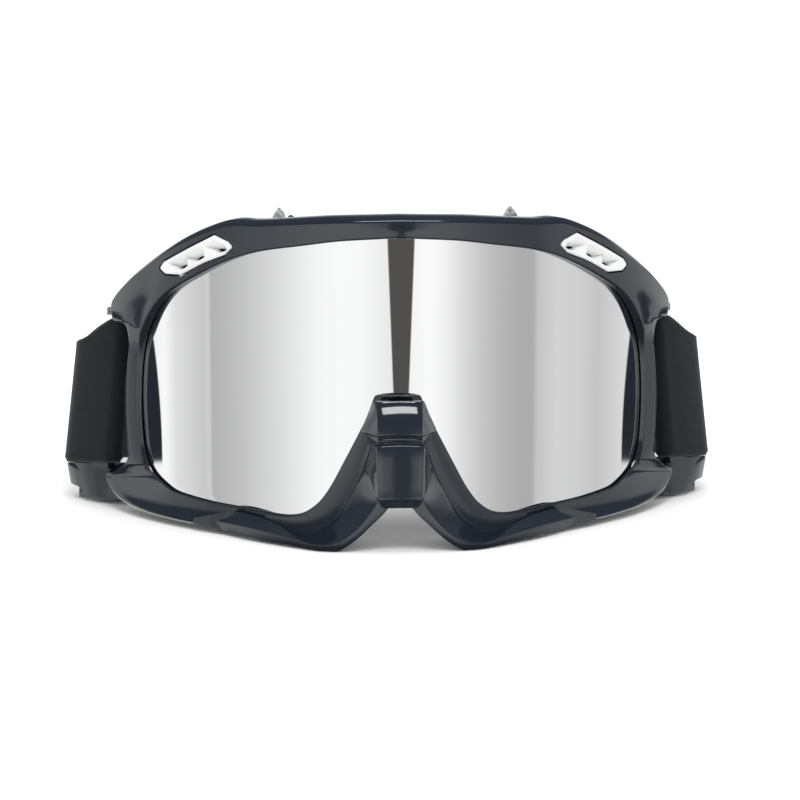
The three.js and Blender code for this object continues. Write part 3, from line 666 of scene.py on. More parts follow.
def make_world():
    world = bpy.data.worlds.new("studio")
    bpy.context.scene.world = world
    world.use_nodes = True
    tree = world.node_tree
    tree.nodes.clear()

    def math_node(operation, first, second=None, clamp=False):
        node = add_node(tree, "ShaderNodeMath", operation=operation)
        node.use_clamp = clamp
        for socket, value in zip(node.inputs, (first, second)):
            if value is None:
                continue
            if isinstance(value, (int, float)):
                socket.default_value = value
            else:
                tree.links.new(value, socket)
        return node.outputs[0]

    direction = add_node(tree, "ShaderNodeTexCoord").outputs["Generated"]
    parts = add_node(tree, "ShaderNodeSeparateXYZ")
    tree.links.new(direction, parts.inputs[0])
    x, y, z = parts.outputs
    forward = math_node("MULTIPLY", y, -1.0)
    azimuth = math_node("MULTIPLY", math_node("ARCTAN2", x, forward), 180 / math.pi)
    side = math_node("ABSOLUTE", math_node("SUBTRACT", azimuth, SLOT_AZIMUTH))
    elevation = math_node("MULTIPLY", math_node("ARCSINE", z), 180 / math.pi)

    fraction = math_node("DIVIDE", math_node("ADD", azimuth, 120.0), 240.0, clamp=True)
    sheets = ramp(tree, fraction, [((a + 120) / 240, grey(v)) for a, v in STUDIO])
    # The gap between the two sheets
    drop = math_node("SUBTRACT", elevation, SLOT_TOP_ELEVATION)
    half = math_node("ADD", math_node("MULTIPLY", drop, SLOT_TAPER), SLOT_TOP)
    half = math_node("MINIMUM", math_node("MAXIMUM", half, 1.2), 5.0)
    gap = math_node("SUBTRACT", half, side)
    gap = math_node("MULTIPLY", gap, 2.2)
    gap = math_node("ADD", gap, 0.5, clamp=True)
    low = math_node("MULTIPLY", math_node("ADD", elevation, 62.0), 1 / 30.0, clamp=True)
    high = math_node("MULTIPLY", math_node("SUBTRACT", 42.0, elevation), 1 / 14.0, clamp=True)
    gap = math_node("MULTIPLY", gap, math_node("MULTIPLY", low, high))
    seen = mix_colour(tree, gap, sheets, (0.085, 0.082, 0.080, 1))
    # Two dark cloths hang beside the set and show only in the ends of the lens
    away = math_node("ABSOLUTE", math_node("SUBTRACT", azimuth, CLOTH_CENTRE))
    sink = math_node("MULTIPLY", math_node("ADD", elevation, 12.0), 0.4)
    limit = math_node("ADD", math_node("MULTIPLY", math_node("MULTIPLY", sink, sink), 5.4), 97.6)
    cloth = math_node("MULTIPLY", math_node("SUBTRACT", away, limit), 1.6, clamp=True)
    above = math_node("MULTIPLY", math_node("ADD", elevation, 12.15), 12.0, clamp=True)
    below = math_node("MULTIPLY", math_node("SUBTRACT", -9.42, elevation), 12.0, clamp=True)
    cloth = math_node("MULTIPLY", cloth, math_node("MULTIPLY", above, below))
    behind = math_node("MULTIPLY", math_node("SUBTRACT", 135.0, away), 0.2, clamp=True)
    cloth = math_node("MULTIPLY", cloth, behind)
    seen = mix_colour(tree, cloth, seen, (0.019, 0.022, 0.028, 1))
    # The light falls off in the middle above the lens, and overhead it is dark round a softbox
    dim = math_node("MULTIPLY", math_node("SUBTRACT", 16.0, side), 0.08, clamp=True)
    dim = math_node("MULTIPLY", dim, math_node("MULTIPLY", math_node("ADD", elevation, 6.5), 0.5, clamp=True))
    seen = mix_colour(tree, math_node("MULTIPLY", dim, 0.55), seen, (0.12, 0.125, 0.135, 1))
    high = math_node("MULTIPLY", math_node("SUBTRACT", elevation, 8.0), 1 / 9.0, clamp=True)
    seen = mix_colour(tree, high, seen, (0.10, 0.12, 0.15, 1))
    # Below the sheets the surfaces see the dim table edge
    under = math_node("MULTIPLY", math_node("ADD", elevation, 44.0), 1 / 16.0, clamp=True)
    seen = mix_colour(tree, under, (0.05, 0.055, 0.065, 1), seen)

    path = add_node(tree, "ShaderNodeLightPath")
    gloss = add_node(tree, "ShaderNodeBackground", Strength=1.0)
    tree.links.new(seen, gloss.inputs["Color"])
    plain = add_node(tree, "ShaderNodeBackground", Strength=1.0)
    dome = ramp(tree, math_node("ADD", math_node("MULTIPLY", z, 0.5), 0.5), [
        (0.45, grey(0.75)), (0.6, grey(1.0)), (1.0, grey(1.0)),
    ])
    tree.links.new(dome, plain.inputs["Color"])
    plain.inputs["Strength"].default_value = 1.12
    white = add_node(tree, "ShaderNodeBackground", Strength=1.0)
    white.inputs["Color"].default_value = (1, 1, 1, 1)
    first = add_node(tree, "ShaderNodeMixShader")
    tree.links.new(path.outputs["Is Glossy Ray"], first.inputs[0])
    tree.links.new(plain.outputs[0], first.inputs[1])
    tree.links.new(gloss.outputs[0], first.inputs[2])
    second = add_node(tree, "ShaderNodeMixShader")
    tree.links.new(path.outputs["Is Camera Ray"], second.inputs[0])
    tree.links.new(first.outputs[0], second.inputs[1])
    tree.links.new(white.outputs[0], second.inputs[2])
    output = add_node(tree, "ShaderNodeOutputWorld")
    tree.links.new(second.outputs[0], output.inputs["Surface"])


def area_light(name, location, target, size, power, glossy=True):
    data = bpy.data.lights.new(name, "AREA")
    data.shape = "RECTANGLE"
    data.size, data.size_y = size
    data.energy = power
    light = bpy.data.objects.new(name, data)
    bpy.context.scene.collection.objects.link(light)
    light.location = location
    light.rotation_mode = "QUATERNION"
    light.rotation_quaternion = (Vector(target) - Vector(location)).to_track_quat("-Z", "Y")
    light.visible_camera = False
    light.visible_glossy = glossy
    return light


def make_studio():
    make_camera()
    make_floor()
    make_world()
    area_light("top_soft", (0.0, 0.1, 0.9), (0, -0.02, 0.03), (0.9, 0.6), 3.0, glossy=False)
    area_light("softbox", (0.05, -0.52, 1.0), (0, -0.08, 0.05), (0.46, 0.30), 3.2)
    bpy.context.scene.view_settings.view_transform = "Standard"


make_studio()


# ------------------------------------------------------------------ lens

def lens_outline():
    """Lower and upper edge of the lens, as (arc, height) for rising arcs."""
    half = RIM_FINE[:len(RIM_FINE) // 2 + 1]
    grown = [beside(s, "edge", min(LENS_LAP, width_to(s, "edge") * 0.5)) for s in half]
    widest = max(range(len(grown)), key=lambda i: grown[i][0])

    def rising(points):
        kept = []
        for p in points:
            if not kept or p[0] > kept[-1][0] + 0.05:
                kept.append(p)
        return [(-a, h) for a, h in reversed(kept[1:])] + kept
    return rising(list(reversed(grown[widest:]))), rising(grown[:widest + 1])


def make_lens():
    bottom, top = lens_outline()
    end = min(bottom[-1][0], top[-1][0]) - 0.02
    arcs = [lerp(-end, end, i / 300) for i in range(301)]
    rows = 40
    points = []
    for side, out in enumerate((0.0, -LENS_THICKNESS)):
        for arc in arcs:
            high = height_at(top, arc)
            low = min(height_at(bottom, arc), high - 0.3)
            for j in range(rows + 1):
                edge = 0.25 if j in (0, rows) and side == 0 else 0.0
                points.append(bend(arc, lerp(low, high, j / rows), out - edge))
    lens = make_object("mirror_lens", points, slab_faces(len(arcs) - 1, rows), sharp=35)
    lens.data.materials.append(MIRROR)
    lens.data.materials.append(SMOKE)
    for polygon in lens.data.polygons:
        centre = polygon.center
        radius = math.hypot(centre.x / MM, centre.y / MM - ORIGIN_Y - LENS_RADIUS)
        polygon.material_index = 0 if radius > LENS_RADIUS - 0.4 else 1
    finish_piece(lens, None, nodes=["lens"])


make_lens()


# ------------------------------------------------------------------ bezel

def bezel_profile(station):
    """(distance from the opening, depth) round one section of the bezel."""
    # Beside the nose the bezel runs on under the nose guard's arms
    tucked = 1.3 * smooth((station["t"] - 26) / 1.5) * smooth((33 - station["t"]) / 1.5)
    width = width_to(station, "edge") + tucked
    rebate = min(3.3, width * 0.58)
    # The side bar and the crown stand over the lower rim, and end in a step
    t = station["t"]
    crown = 1 - smooth((t - STEP_STATION) / 0.12)
    # The side bar is lower, and its face is turned forwards
    bar = smooth((t - 11.8) / 1.4) * crown
    wide = min(width / 6, 1.0)
    upper = [
        (0.0, GAP), (0.0, 1.4), (0.06, 2.85 - 1.3 * bar), (0.16, 3.14 - 1.35 * bar), (0.42, 3.3 - 1.3 * bar),
        (0.9, 3.36 - 1.2 * bar), (width * 0.32, 3.44 - 0.95 * bar), (width * 0.55, 3.46 - 0.6 * bar),
        (width - 1.9 * wide, 3.36 - 0.3 * bar), (width - 1.4 * wide, 3.28 - 0.2 * bar),
        (width - 1.15 * wide, 3.08 - 0.1 * bar), (width - 0.5 * wide, 2.3), (width - 0.12, 1.75),
        (width, 1.3),
    ]
    # The lower rim slopes out from the lens to a rolled lip
    lower = [
        (0.0, GAP), (0.0, 0.75), (0.1, 1.0), (0.35, 1.12), (0.8, 1.12), (width * 0.2, 1.25),
        (width * 0.4, 1.6), (width * 0.6, 2.15), (width * 0.76, 2.8), (width * 0.82, 3.2),
        (width * 0.87, 3.34), (width * 0.93, 3.15), (width - 0.2, 2.4), (width, 1.3),
    ]
    front = [(lerp(q[0], p[0], crown), lerp(q[1], p[1], crown)) for p, q in zip(upper, lower)]
    back = [
        (width, BEZEL_BACK + 0.4), (width - 0.4, BEZEL_BACK), (lerp(rebate, width, 0.5), BEZEL_BACK),
        (rebate + 0.2, BEZEL_BACK), (rebate, BEZEL_BACK + 0.2), (rebate, GAP),
    ]
    return front + back


def bezel_ring():
    sections = []
    for station in RIM_FINE:
        sections.append([bend(*beside(station, "edge", away), out) for away, out in bezel_profile(station)])
    points, faces = loft_data(sections, ring=True)
    return make_object("bezel", points, faces)


def prism(name, outline, bottom, top, mapping=lambda x, y, z: (x, y, z)):
    sections = [[mapping(x, y, z) for x, y in outline] for z in (bottom, top)]
    return loft(name, sections)


def vent_cutter(name, grow, back, front, side):
    arcs = sorted({a for a, _ in VENT_TOP + VENT_BOTTOM} | {48.4 + i * 0.85 for i in range(31)})
    arcs = [a for a in arcs if a <= VENT_TOP[-1][0]]
    arcs = [arcs[0] - grow] + arcs + [arcs[-1] + grow]
    sections = []
    for arc in arcs:
        low, high = height_at(VENT_BOTTOM, arc) - grow, height_at(VENT_TOP, arc) + grow
        if arc in (arcs[0], arcs[-1]):
            low, high = low + grow * 0.9, high - grow * 0.9
        section = [bend(arc, low, back), bend(arc, low, front), bend(arc, high, front), bend(arc, high, back)]
        sections.append([(side * x, y, z) for x, y, z in section])
    return loft(name, sections)


def outrigger(side):
    """The slanted strap bar, with the two arms and the foot that carry it."""
    (ax, ay), (bx, by) = POST_FRONT, POST_REAR
    length = math.hypot(bx - ax, by - ay)
    nx, ny = (by - ay) / length * POST_THICKNESS / 2, -(bx - ax) / length * POST_THICKNESS / 2
    reach = STRAP_HEIGHT / 2 + 2
    plan = [(ax + nx, ay + ny), (bx + nx, by + ny), (bx - nx, by - ny), (ax - nx, ay - ny)]

    def fall(y):
        return STRAP_DROOP * (y - STRAP_REF_Y)

    def on_post(x, y, above):
        x, y, z = strap_point(x, y, above - POST_CUT if above > 0 and x > 88 else above)
        return side * x, y, z

    def on_upper(x, y, top):
        return side * x, y, 63 - 0.26 * (y - 46.6) if top else 57.9 - fall(y)

    def on_lower(x, y, top):
        if top:
            return side * x, y, 11.7 - fall(y)
        return side * (x - 1.0 * smooth((x - 90) / 8)), y, min(max(1.8 + 0.5 * (x - 93), 1.8), 4.2)

    post = prism("post", plan, -reach, reach, on_post)
    upper = prism("upper_arm", [
        (76.5, 44.5), (82.4, 46.2), (85.6, 50), (86.4, 53), (85, 55.4), (80, 54.6), (76, 50),
    ], 0, 1, on_upper)
    lower = prism("lower_arm", [
        (79.5, 52), (87, 52.8), (93, 56.4), (97.4, 60.4), (99.6, 63.4), (100.2, 65.6), (98.4, 68.4),
        (91, 68.4), (83, 59.4),
    ], 0, 1, on_lower)
    foot = prism("foot", [(82.5, 56.5), (88.5, 56.5), (96.5, 64), (94, 66.6), (89, 66.6)], 0, 3,
                 lambda x, y, z: (side * x, y, z))
    for other in (upper, lower, foot):
        boolean(post, other, "UNION")
    bevel(post, 0.6, 3)
    return post


def make_bezel():
    bezel = bezel_ring()
    for side in (1, -1):
        boolean(bezel, outrigger(side), "UNION")
    for side in (1, -1):
        boolean(bezel, vent_cutter("window", 0.55, -8, 8, side), "DIFFERENCE")
    tidy_mesh(bezel.data, 32)
    finish_piece(bezel, SHELL, nodes=["front_bezel"])


make_bezel()


# ------------------------------------------------------------------ vents

def vent_depth(arc, share):
    """Depth of the louvred plate below its face, and whether a hole opens there."""
    for hole, reach in SCOOPS:
        out = arc - hole
        if not -3.3 < out < 5.4:
            continue
        lip = 0.19 + (0.1 * out if out > 0 else 0.0)
        if not lip < share < 0.84:
            continue
        depth = 3.4 * ((0.84 - share) / 0.65) ** 1.2
        depth *= smooth((out + 3.3) / 2.4) * smooth((5.4 - out) / 2.5) * smooth((share - lip) / 0.05)
        open_here = -reach < out < reach * 0.8 and lip + 0.03 < share < 0.4 - 0.05 * abs(out)
        return depth, open_here
    return 0.0, False


def make_vent(side):
    columns, rows = 150, 64
    start, end = VENT_TOP[0][0], VENT_TOP[-1][0]
    points, faces, holes = [], [], set()
    for i in range(columns + 1):
        arc = lerp(start, end, i / columns)
        low, high = height_at(VENT_BOTTOM, arc), height_at(VENT_TOP, arc)
        for j in range(rows + 1):
            share = j / rows
            border = min(share, 1 - share) * (high - low)
            border = min(border, arc - start + 0.02, end - arc + 0.02)
            round_off = 0.4 * (1 - smooth(border / 0.55))
            depth, hole = vent_depth(arc, share)
            if hole:
                holes.add((i, j))
            x, y, z = bend(arc, lerp(low, high, share), VENT_FRONT - round_off - depth)
            points.append((side * x, y, z))
    stride = rows + 1
    for i in range(columns):
        for j in range(rows):
            if (i, j) in holes and (i + 1, j + 1) in holes:
                continue
            a, b = i * stride + j, (i + 1) * stride + j
            faces.append((a, b, b + 1, a + 1))
    # A skirt round the plate
    ring = [i * stride for i in range(columns + 1)] + [columns * stride + j for j in range(1, rows + 1)]
    ring += [i * stride + rows for i in reversed(range(columns))] + [j for j in reversed(range(1, rows))]
    base = len(points)
    for index in ring:
        x, y, z = points[index]
        radius = math.hypot(x, y - LENS_RADIUS)
        scale = (LENS_RADIUS + VENT_BACK) / radius
        points.append((x * scale, LENS_RADIUS + (y - LENS_RADIUS) * scale, z))
    for k in range(len(ring)):
        n = (k + 1) % len(ring)
        faces.append((ring[k], ring[n], base + n, base + k))
    suffix = side_name(side)
    vent = make_object("vent_" + suffix, points, faces, 50)
    solid = vent.modifiers.new("solid", "SOLIDIFY")
    solid.thickness = 0.5 * MM
    solid.offset = -1
    apply_modifiers(vent)
    tidy_mesh(vent.data, 50)
    finish_piece(vent, WHITE, nodes=["vent_insert_" + suffix])


def make_vent_filter(side):
    bottom = [(a, min(h + 1.9, height_at(VENT_TOP, a) - 0.3)) for a, h in VENT_BOTTOM]
    columns, rows = 60, 24
    points = []
    random.seed(11)
    for out in (VENT_BACK - 0.6, BEZEL_BACK + GAP):
        for i in range(columns + 1):
            arc = lerp(VENT_TOP[0][0] + 0.2, VENT_TOP[-1][0] - 0.2, i / columns)
            low, high = height_at(bottom, arc), height_at(VENT_TOP, arc)
            for j in range(rows + 1):
                rough = random.uniform(-0.15, 0.15)
                x, y, z = bend(arc, lerp(low, high, j / rows), out + rough)
                points.append((side * x, y, z))
    suffix = side_name(side)
    pad = make_object("vent_foam_" + suffix, points, slab_faces(columns, rows))
    finish_piece(pad, FOAM, nodes=["vent_filter_" + suffix])


for side in (1, -1):
    make_vent(side)
    make_vent_filter(side)


# ------------------------------------------------------------------ nose guard

NOSE_ROWS = [
    (5.7, 7.1, 42.75, -6.4), (6.2, 7.5, 42.3, -7.1), (6.5, 7.9, 41.4, -8.0), (6.5, 8.9, 38.7, -10.2),
    (6.5, 9.5, 37.4, -10.7), (6.5, 10.9, 34.3, -11.4), (6.45, 10.8, 33.9, -11.5), (6.35, 10.5, 33.5, -11.2),
    (6.3, 10.2, 33.2, -10.5), (6.3, 9.9, 32.9, -10.3), (6.4, 9.6, 32.6, -10.9), (6.4, 9.2, 32.1, -11.1),
    (6.35, 8.8, 31.7, -10.9), (6.35, 8.5, 31.4, -10.6), (6.5, 8.2, 31.1, -11.0), (6.85, 7.9, 30.8, -11.8),
    (6.9, 7.7, 30.4, -12.0), (6.6, 10.0, 22.4, -12.7), (6.42, 10.4, 16.6, -13.1), (6.4, 10.45, 16.0, -13.35),
    (6.35, 10.5, 15.4, -13.4), (6.2, 10.2, 14.9, -13.1), (5.6, 9.0, 13.5, -12.8), (5.0, 8.0, 12.8, -12.6),
]
NOSE_ARM = [
    ((9.6, 22.4), (6.4, -12.4, 22.4), (1.5, -12.2, 20.5)),
    ((13.1, 15.1), (6.4, -12.9, 15.6), (3.2, -12.4, 13.2)),
    ((16.4, 9), (10.6, -13.2, 9), (8.4, -12.6, 7.6)),
    ((19.9, 4.8), (15, -13.2, 4.8), (13.2, -12.6, 3.2)),
    ((23.6, 3), (19.4, -12.9, 2.4), (18.4, -12.2, 0)),
    ((28, 2.8), (24.4, -11.4, 1.9), (24, -10.8, 0)),
    ((34, 4.8), (31.4, -7.2, 3), (31, -6.4, 0.4)),
    ((42, 7), (40.6, -0.4, 4), (40.4, 0.4, 0.8)),
    ((49.5, 7.4), (48.6, 7, 4), (48.4, 7.6, 1.1)),
    ((61.8, 4), (59.8, 18.6, 3.2), (59.6, 19, 1.7)),
]
NOSE_SEAT = 3.75


def nose_block():
    sections = []
    for half, side, top, front in NOSE_ROWS:
        section = []
        back = -NOSE_SEAT
        for x, y, z in ((-side, back, top), (-half, front, top)):
            section.append((x, y, z))
        for i in range(1, 8):
            f = i / 8
            x = lerp(-half, half, f)
            crown = 0.3 * (1 - (2 * f - 1) ** 2)
            section.append((x, front - crown, top + 0.35 * (1 - (2 * f - 1) ** 2)))
        section += [(half, front, top), (side, back, top)]
        sections.append(section)
    return loft("nose_block", sections)


def nose_arm(side):
    sections = []
    count = 60
    parting = [p for p, _, _ in NOSE_ARM]
    fold = [f for _, f, _ in NOSE_ARM]
    edge = [e for _, _, e in NOSE_ARM]
    for i in range(count + 1):
        t = i / count * (len(NOSE_ARM) - 1)
        p = spline([tuple(map(float, q)) for q in parting], t)
        f = spline([tuple(map(float, q)) for q in fold], t)
        e = spline([tuple(map(float, q)) for q in edge], t)
        e[2] = max(e[2], 0.0)
        under = (e[0] / math.cos(e[0] / LENS_RADIUS / 2), max(e[2], 0.2) + 0.4)
        top = bend(p[0], p[1], NOSE_SEAT)
        section = [top]
        # The cheek between the parting line and the fold is slightly hollow
        for k in range(1, 6):
            g = k / 6
            hollow = 0.5 * math.sin(math.pi * g)
            section.append((lerp(top[0], f[0], g), lerp(top[1], f[1], g) + hollow, lerp(top[2], f[2], g)))
        section += [tuple(f), tuple(e), bend(under[0], under[1], NOSE_SEAT)]
        sections.append([(side * x, y, z) for x, y, z in section])
    return loft("nose_arm", sections)


def merge(obj, *others):
    """The pieces of one moulding, as one object."""
    bm = bmesh.new()
    for each in (obj, *others):
        bm.from_mesh(each.data)
    bm.to_mesh(obj.data)
    bm.free()
    for each in others:
        mesh = each.data
        bpy.data.objects.remove(each)
        bpy.data.meshes.remove(mesh)


def make_nose_guard():
    guard = nose_block()
    arms = [nose_arm(side) for side in (1, -1)]
    for piece in (guard, *arms):
        bevel(piece, 0.3, 3, 28)
        tidy_mesh(piece.data, 40)
    merge(guard, *arms)
    finish_piece(guard, SHELL, nodes=["nose_guard"])


make_nose_guard()


# ------------------------------------------------------------------ rear frame, filters and padding

ROOF_WINDOWS = ((4, 27.3), (31.9, 45))
FLOOR_WINDOWS = ((41, 52),)


def behind_front(x):
    return LENS_RADIUS - math.sqrt((LENS_RADIUS + FRAME_FRONT - WALL) ** 2 - x * x)


def frame_ring():
    sections = []
    for index, station in enumerate(RIM_FINE):
        inward = inward_at(RIM_FINE, index)
        width = width_to(station, "wall")
        rib = min(LENS_LAP - 0.2, width * 0.6)
        lip = min(0.6, width * 0.15)
        face = station["face"]
        forward = np.array([0, -WALL, 0])
        front_in = bend(*beside(station, "wall", max(width - WALL, lip + 0.4)), FRAME_FRONT - WALL)
        front_out = bend(*beside(station, "wall", width), FRAME_FRONT)
        rear_in = face + inward * WALL + forward
        sections.append([
            front_out,
            bend(*beside(station, "edge", rib), FRAME_FRONT),
            bend(*beside(station, "edge", rib), -1.55),
            bend(*beside(station, "edge", lip), -1.55),
            bend(*beside(station, "edge", lip), FRAME_FRONT - WALL),
            front_in,
            tuple(lerp(np.array(front_in), rear_in, 0.5)),
            tuple(rear_in),
            tuple(face + inward * FLANGE + forward),
            tuple(face + inward * FLANGE),
            tuple(face),
            tuple(lerp(face, np.array(front_out), 0.5)),
        ])
    points, faces = loft_data(sections, ring=True)
    return make_object("frame_shell", points, faces)


def window_cutter(low, high, y0, y1, z0, z1, side):
    outline = [
        (low, behind_front(low) + y0), (high, behind_front(high) + y0), (high, y1), (low, y1),
    ]
    cutter = prism("window", outline, z0, z1, lambda x, y, z: (side * x, y, z))
    bevel_vertical(cutter, 1.4)
    return cutter


def bevel_vertical(obj, width):
    bm = bmesh.new()
    bm.from_mesh(obj.data)
    upright = [
        e for e in bm.edges
        if abs((e.verts[0].co - e.verts[1].co).normalized().z) > 0.9
    ]
    bmesh.ops.bevel(bm, geom=upright, offset=width * MM, segments=4, affect="EDGES", profile=0.5)
    bm.to_mesh(obj.data)
    bm.free()


def roof_strut(side):
    sections = []
    for x in (27.7, 28.3, 29.1, 30.0, 30.8, 31.5):
        peak = lerp(92.8, 95.0, smooth((x - 27.7) / 3.0)) - 0.4 * smooth((x - 30.8) / 0.7)
        section = []
        for y in (12, 14, 17, 20, 24):
            section.append((side * x, y, max(peak - 0.25 * (y - 12), 95.9 - 0.27 * y)))
        section += [(side * x, 24, 93.6 - 0.27 * 24), (side * x, 12, 93.6 - 0.27 * 12)]
        sections.append(section)
    return loft("strut", sections)


def make_main_frame():
    shell = frame_ring()
    for side in (1, -1):
        boolean(shell, roof_strut(side), "UNION")
        for low, high in ROOF_WINDOWS:
            boolean(shell, window_cutter(low, high, 2, 32, 78, 100, side), "DIFFERENCE")
        for low, high in FLOOR_WINDOWS:
            boolean(shell, window_cutter(low, high, 3, 40, -2, 12, side), "DIFFERENCE")
        boolean(shell, vent_cutter("window", -0.8, -9, -2, side), "DIFFERENCE")
    tidy_mesh(shell.data, 35)
    finish_piece(shell, SATIN, nodes=["main_frame"])


make_main_frame()


def foam_slab(name, columns, rows, corner):
    """A sheet of open foam. corner(u, v, k) gives its points, k 0 below and 1 above."""
    points = []
    random.seed(len(name))
    for k in (0, 1):
        for i in range(columns + 1):
            for j in range(rows + 1):
                x, y, z = corner(i / columns, j / rows, k)
                points.append((x, y, z + random.uniform(-0.12, 0.12)))
    return make_object(name, points, slab_faces(columns, rows))


def make_roof_filter(side):
    suffix = side_name(side)

    def corner(u, v, k):
        x = lerp(2.5, 46.5, u)
        front = behind_front(x) + 1
        y = lerp(front, 32.5, v)
        z = 95.2 - 0.27 * y - 0.0016 * x * x - WALL - 1.2 - (0 if k else 3)
        return side * x, y, z
    sheet = foam_slab("roof_filter_" + suffix, 90, 40, corner)
    outline = [(37, 85), (36.8, 91.6), (36.3, 93.0), (35.2, 95.0), (34.4, 96.0), (33.8, 96.3), (33.1, 95.7),
               (32.3, 94.4), (32.3, 85)]
    sections = [
        [(side * x, y, z + fall) for x, z in outline]
        for y, fall in ((18.4, -0.3), (18.8, 0.0), (22, -0.5), (26.5, -2.0), (27, -2.5))
    ]
    tongue = loft("tongue", sections)
    boolean(sheet, tongue, "UNION")
    tidy_mesh(sheet.data, 50)
    finish_piece(sheet, FILTER, nodes=["roof_filter_" + suffix])


def make_floor_filter(side):
    suffix = side_name(side)

    def corner(u, v, k):
        x = lerp(40, 53, u)
        y = lerp(behind_front(x) + 1, 43, v)
        z = 3.4 + 0.14 * (y - 12) + WALL + 1.4 + (3 if k else 0)
        return side * x, y, z
    sheet = foam_slab("floor_filter_" + suffix, 40, 50, corner)
    finish_piece(sheet, FILTER, nodes=["floor_filter_" + suffix])


for side in (1, -1):
    make_roof_filter(side)
    make_floor_filter(side)


def pad_ring(name, start, depth, profile):
    sections = []
    for index, station in enumerate(RIM_FINE):
        inward = inward_at(RIM_FINE, index)
        section = []
        for across, back in profile:
            p = station["face"] + inward * (across * FLANGE) + np.array([0, start + back * depth, 0])
            section.append(tuple(p))
        sections.append(section)
    points, faces = loft_data(sections, ring=True)
    return make_object(name, points, faces)


def roughen(obj, amount, scale, seed):
    mesh = obj.data
    for vertex in mesh.vertices:
        p = vertex.co / MM * scale
        vertex.co += vertex.normal * noise.noise(Vector((p.x + seed, p.y, p.z))) * amount * MM
    mesh.update()


def make_padding():
    # The foam's sides bulge a little between the flange and the fleece
    foam_profile = [(0.0, 0.0)]
    foam_profile += [(-0.045 * math.sin(math.pi * f), f) for f in (0.1, 0.25, 0.4, 0.55, 0.7, 0.85)]
    foam_profile += [(0.01, 0.97), (0.05, 1.0), (0.35, 1.0), (0.65, 1.0), (0.95, 1.0), (0.99, 0.97)]
    foam_profile += [(1 + 0.06 * math.sin(math.pi * f), f) for f in (0.85, 0.7, 0.55, 0.4, 0.25, 0.1)]
    foam_profile += [(1.0, 0.0), (0.65, 0.0), (0.35, 0.0)]
    foam = pad_ring("face_foam_pad", GAP, FOAM_DEPTH, foam_profile)
    roughen(foam, 0.35, 0.9, 3.0)
    finish_piece(foam, FOAM, nodes=["face_foam"])
    liner_profile = [
        (-0.03, 0.1), (-0.05, 0.4), (-0.03, 0.75), (0.04, 0.98), (0.2, 1.08), (0.35, 1.14), (0.5, 1.16),
        (0.65, 1.14), (0.8, 1.08), (0.95, 0.98), (1.02, 0.75), (1.04, 0.4), (1.02, 0.1), (0.9, 0.0),
        (0.5, 0.0), (0.1, 0.0),
    ]
    liner = pad_ring("fleece_liner", FOAM_DEPTH + 2 * GAP, LINER_DEPTH, liner_profile)
    roughen(liner, 0.22, 0.5, 9.0)
    finish_piece(liner, FLEECE, nodes=["foam_liner"])


make_padding()


# ------------------------------------------------------------------ strap

def band_section(x, y, nx, ny):
    """Points round the band's section, with rounded, slightly thicker selvages."""
    height, rows = STRAP_HEIGHT, 30
    outer, inner = [], []
    for j in range(rows + 1):
        above = lerp(-height / 2, height / 2, j / rows)
        edge = height / 2 - abs(above)
        half = STRAP_THICKNESS / 2 * math.sqrt(max(1 - (1 - min(edge / 0.8, 1)) ** 2, 0))
        half *= 0.9 + 0.1 * smooth(1 - (edge - 1.2) / 1.5)
        outer.append((x + nx * half, y + ny * half, above))
        inner.append((x - nx * half, y - ny * half, above))
    return outer + list(reversed(inner[1:-1]))


def band_mesh(name, path, side=1):
    """A webbing band along a plan path, with band coordinates in millimetres for its weave."""
    plan = np.array(path, float)
    lengths = np.concatenate([[0], np.cumsum(np.hypot(*np.diff(plan, axis=0).T))])
    sections, uvs = [], []
    for i, (x, y) in enumerate(plan):
        along = plan[min(i + 1, len(plan) - 1)] - plan[max(i - 1, 0)]
        along = along / np.hypot(*along)
        ring = band_section(x, y, along[1], -along[0])
        # The upper edge is drawn down where the band turns round the bar
        curl = 6.5 * smooth((abs(x) - 86) / 12) * (1 - smooth((y - 71) / 26)) if y < 100 else 0
        section = []
        for px, py, above in ring:
            drawn = curl * max(above / (STRAP_HEIGHT / 2), 0) ** 2
            section.append(strap_point(px, py, above - drawn))
        sections.append(section)
        uvs.append([(lengths[i], p[2]) for p in ring])
    points, faces = loft_data(sections)
    if side < 0:
        points = mirrored(points)
    mesh = bpy.data.meshes.new(name)
    mesh.from_pydata([place(*p) for p in points], [], faces)
    layer = mesh.uv_layers.new(name="band")
    flat = [uv for row in uvs for uv in row]
    for loop in mesh.loops:
        layer.data[loop.index].uv = flat[loop.vertex_index]
    for polygon in mesh.polygons:
        polygon.use_smooth = True
    obj = bpy.data.objects.new(name, mesh)
    bpy.context.scene.collection.objects.link(obj)
    bm = bmesh.new()
    bm.from_mesh(mesh)
    bmesh.ops.recalc_face_normals(bm, faces=bm.faces)
    bm.to_mesh(mesh)
    bm.free()
    return obj


def resample(path, step):
    """Evenly spaced points on a smooth curve through the plan points."""
    plan = [tuple(map(float, p)) for p in path]
    dense = [spline(plan, t / 24) for t in range((len(plan) - 1) * 24 + 1)]
    dense = np.array(dense)
    lengths = np.concatenate([[0], np.cumsum(np.hypot(*np.diff(dense, axis=0).T))])
    count = max(int(lengths[-1] / step), 2)
    at = np.linspace(0, lengths[-1], count + 1)
    return np.stack([np.interp(at, lengths, dense[:, 0]), np.interp(at, lengths, dense[:, 1])], 1)


def arc_points(centre, radius, start, end, steps):
    return [
        (centre[0] + radius * math.cos(lerp(start, end, i / steps)),
         centre[1] + radius * math.sin(lerp(start, end, i / steps)))
        for i in range(steps + 1)
    ]


def bend_x(y):
    """Plan x of the outer layer where it bends in from the bar to the side of the head."""
    return lerp(STRAP_FRONT_X, STRAP_X, smooth((y - BEND_START_Y) / (STRAP_LEVEL_Y - BEND_START_Y)))


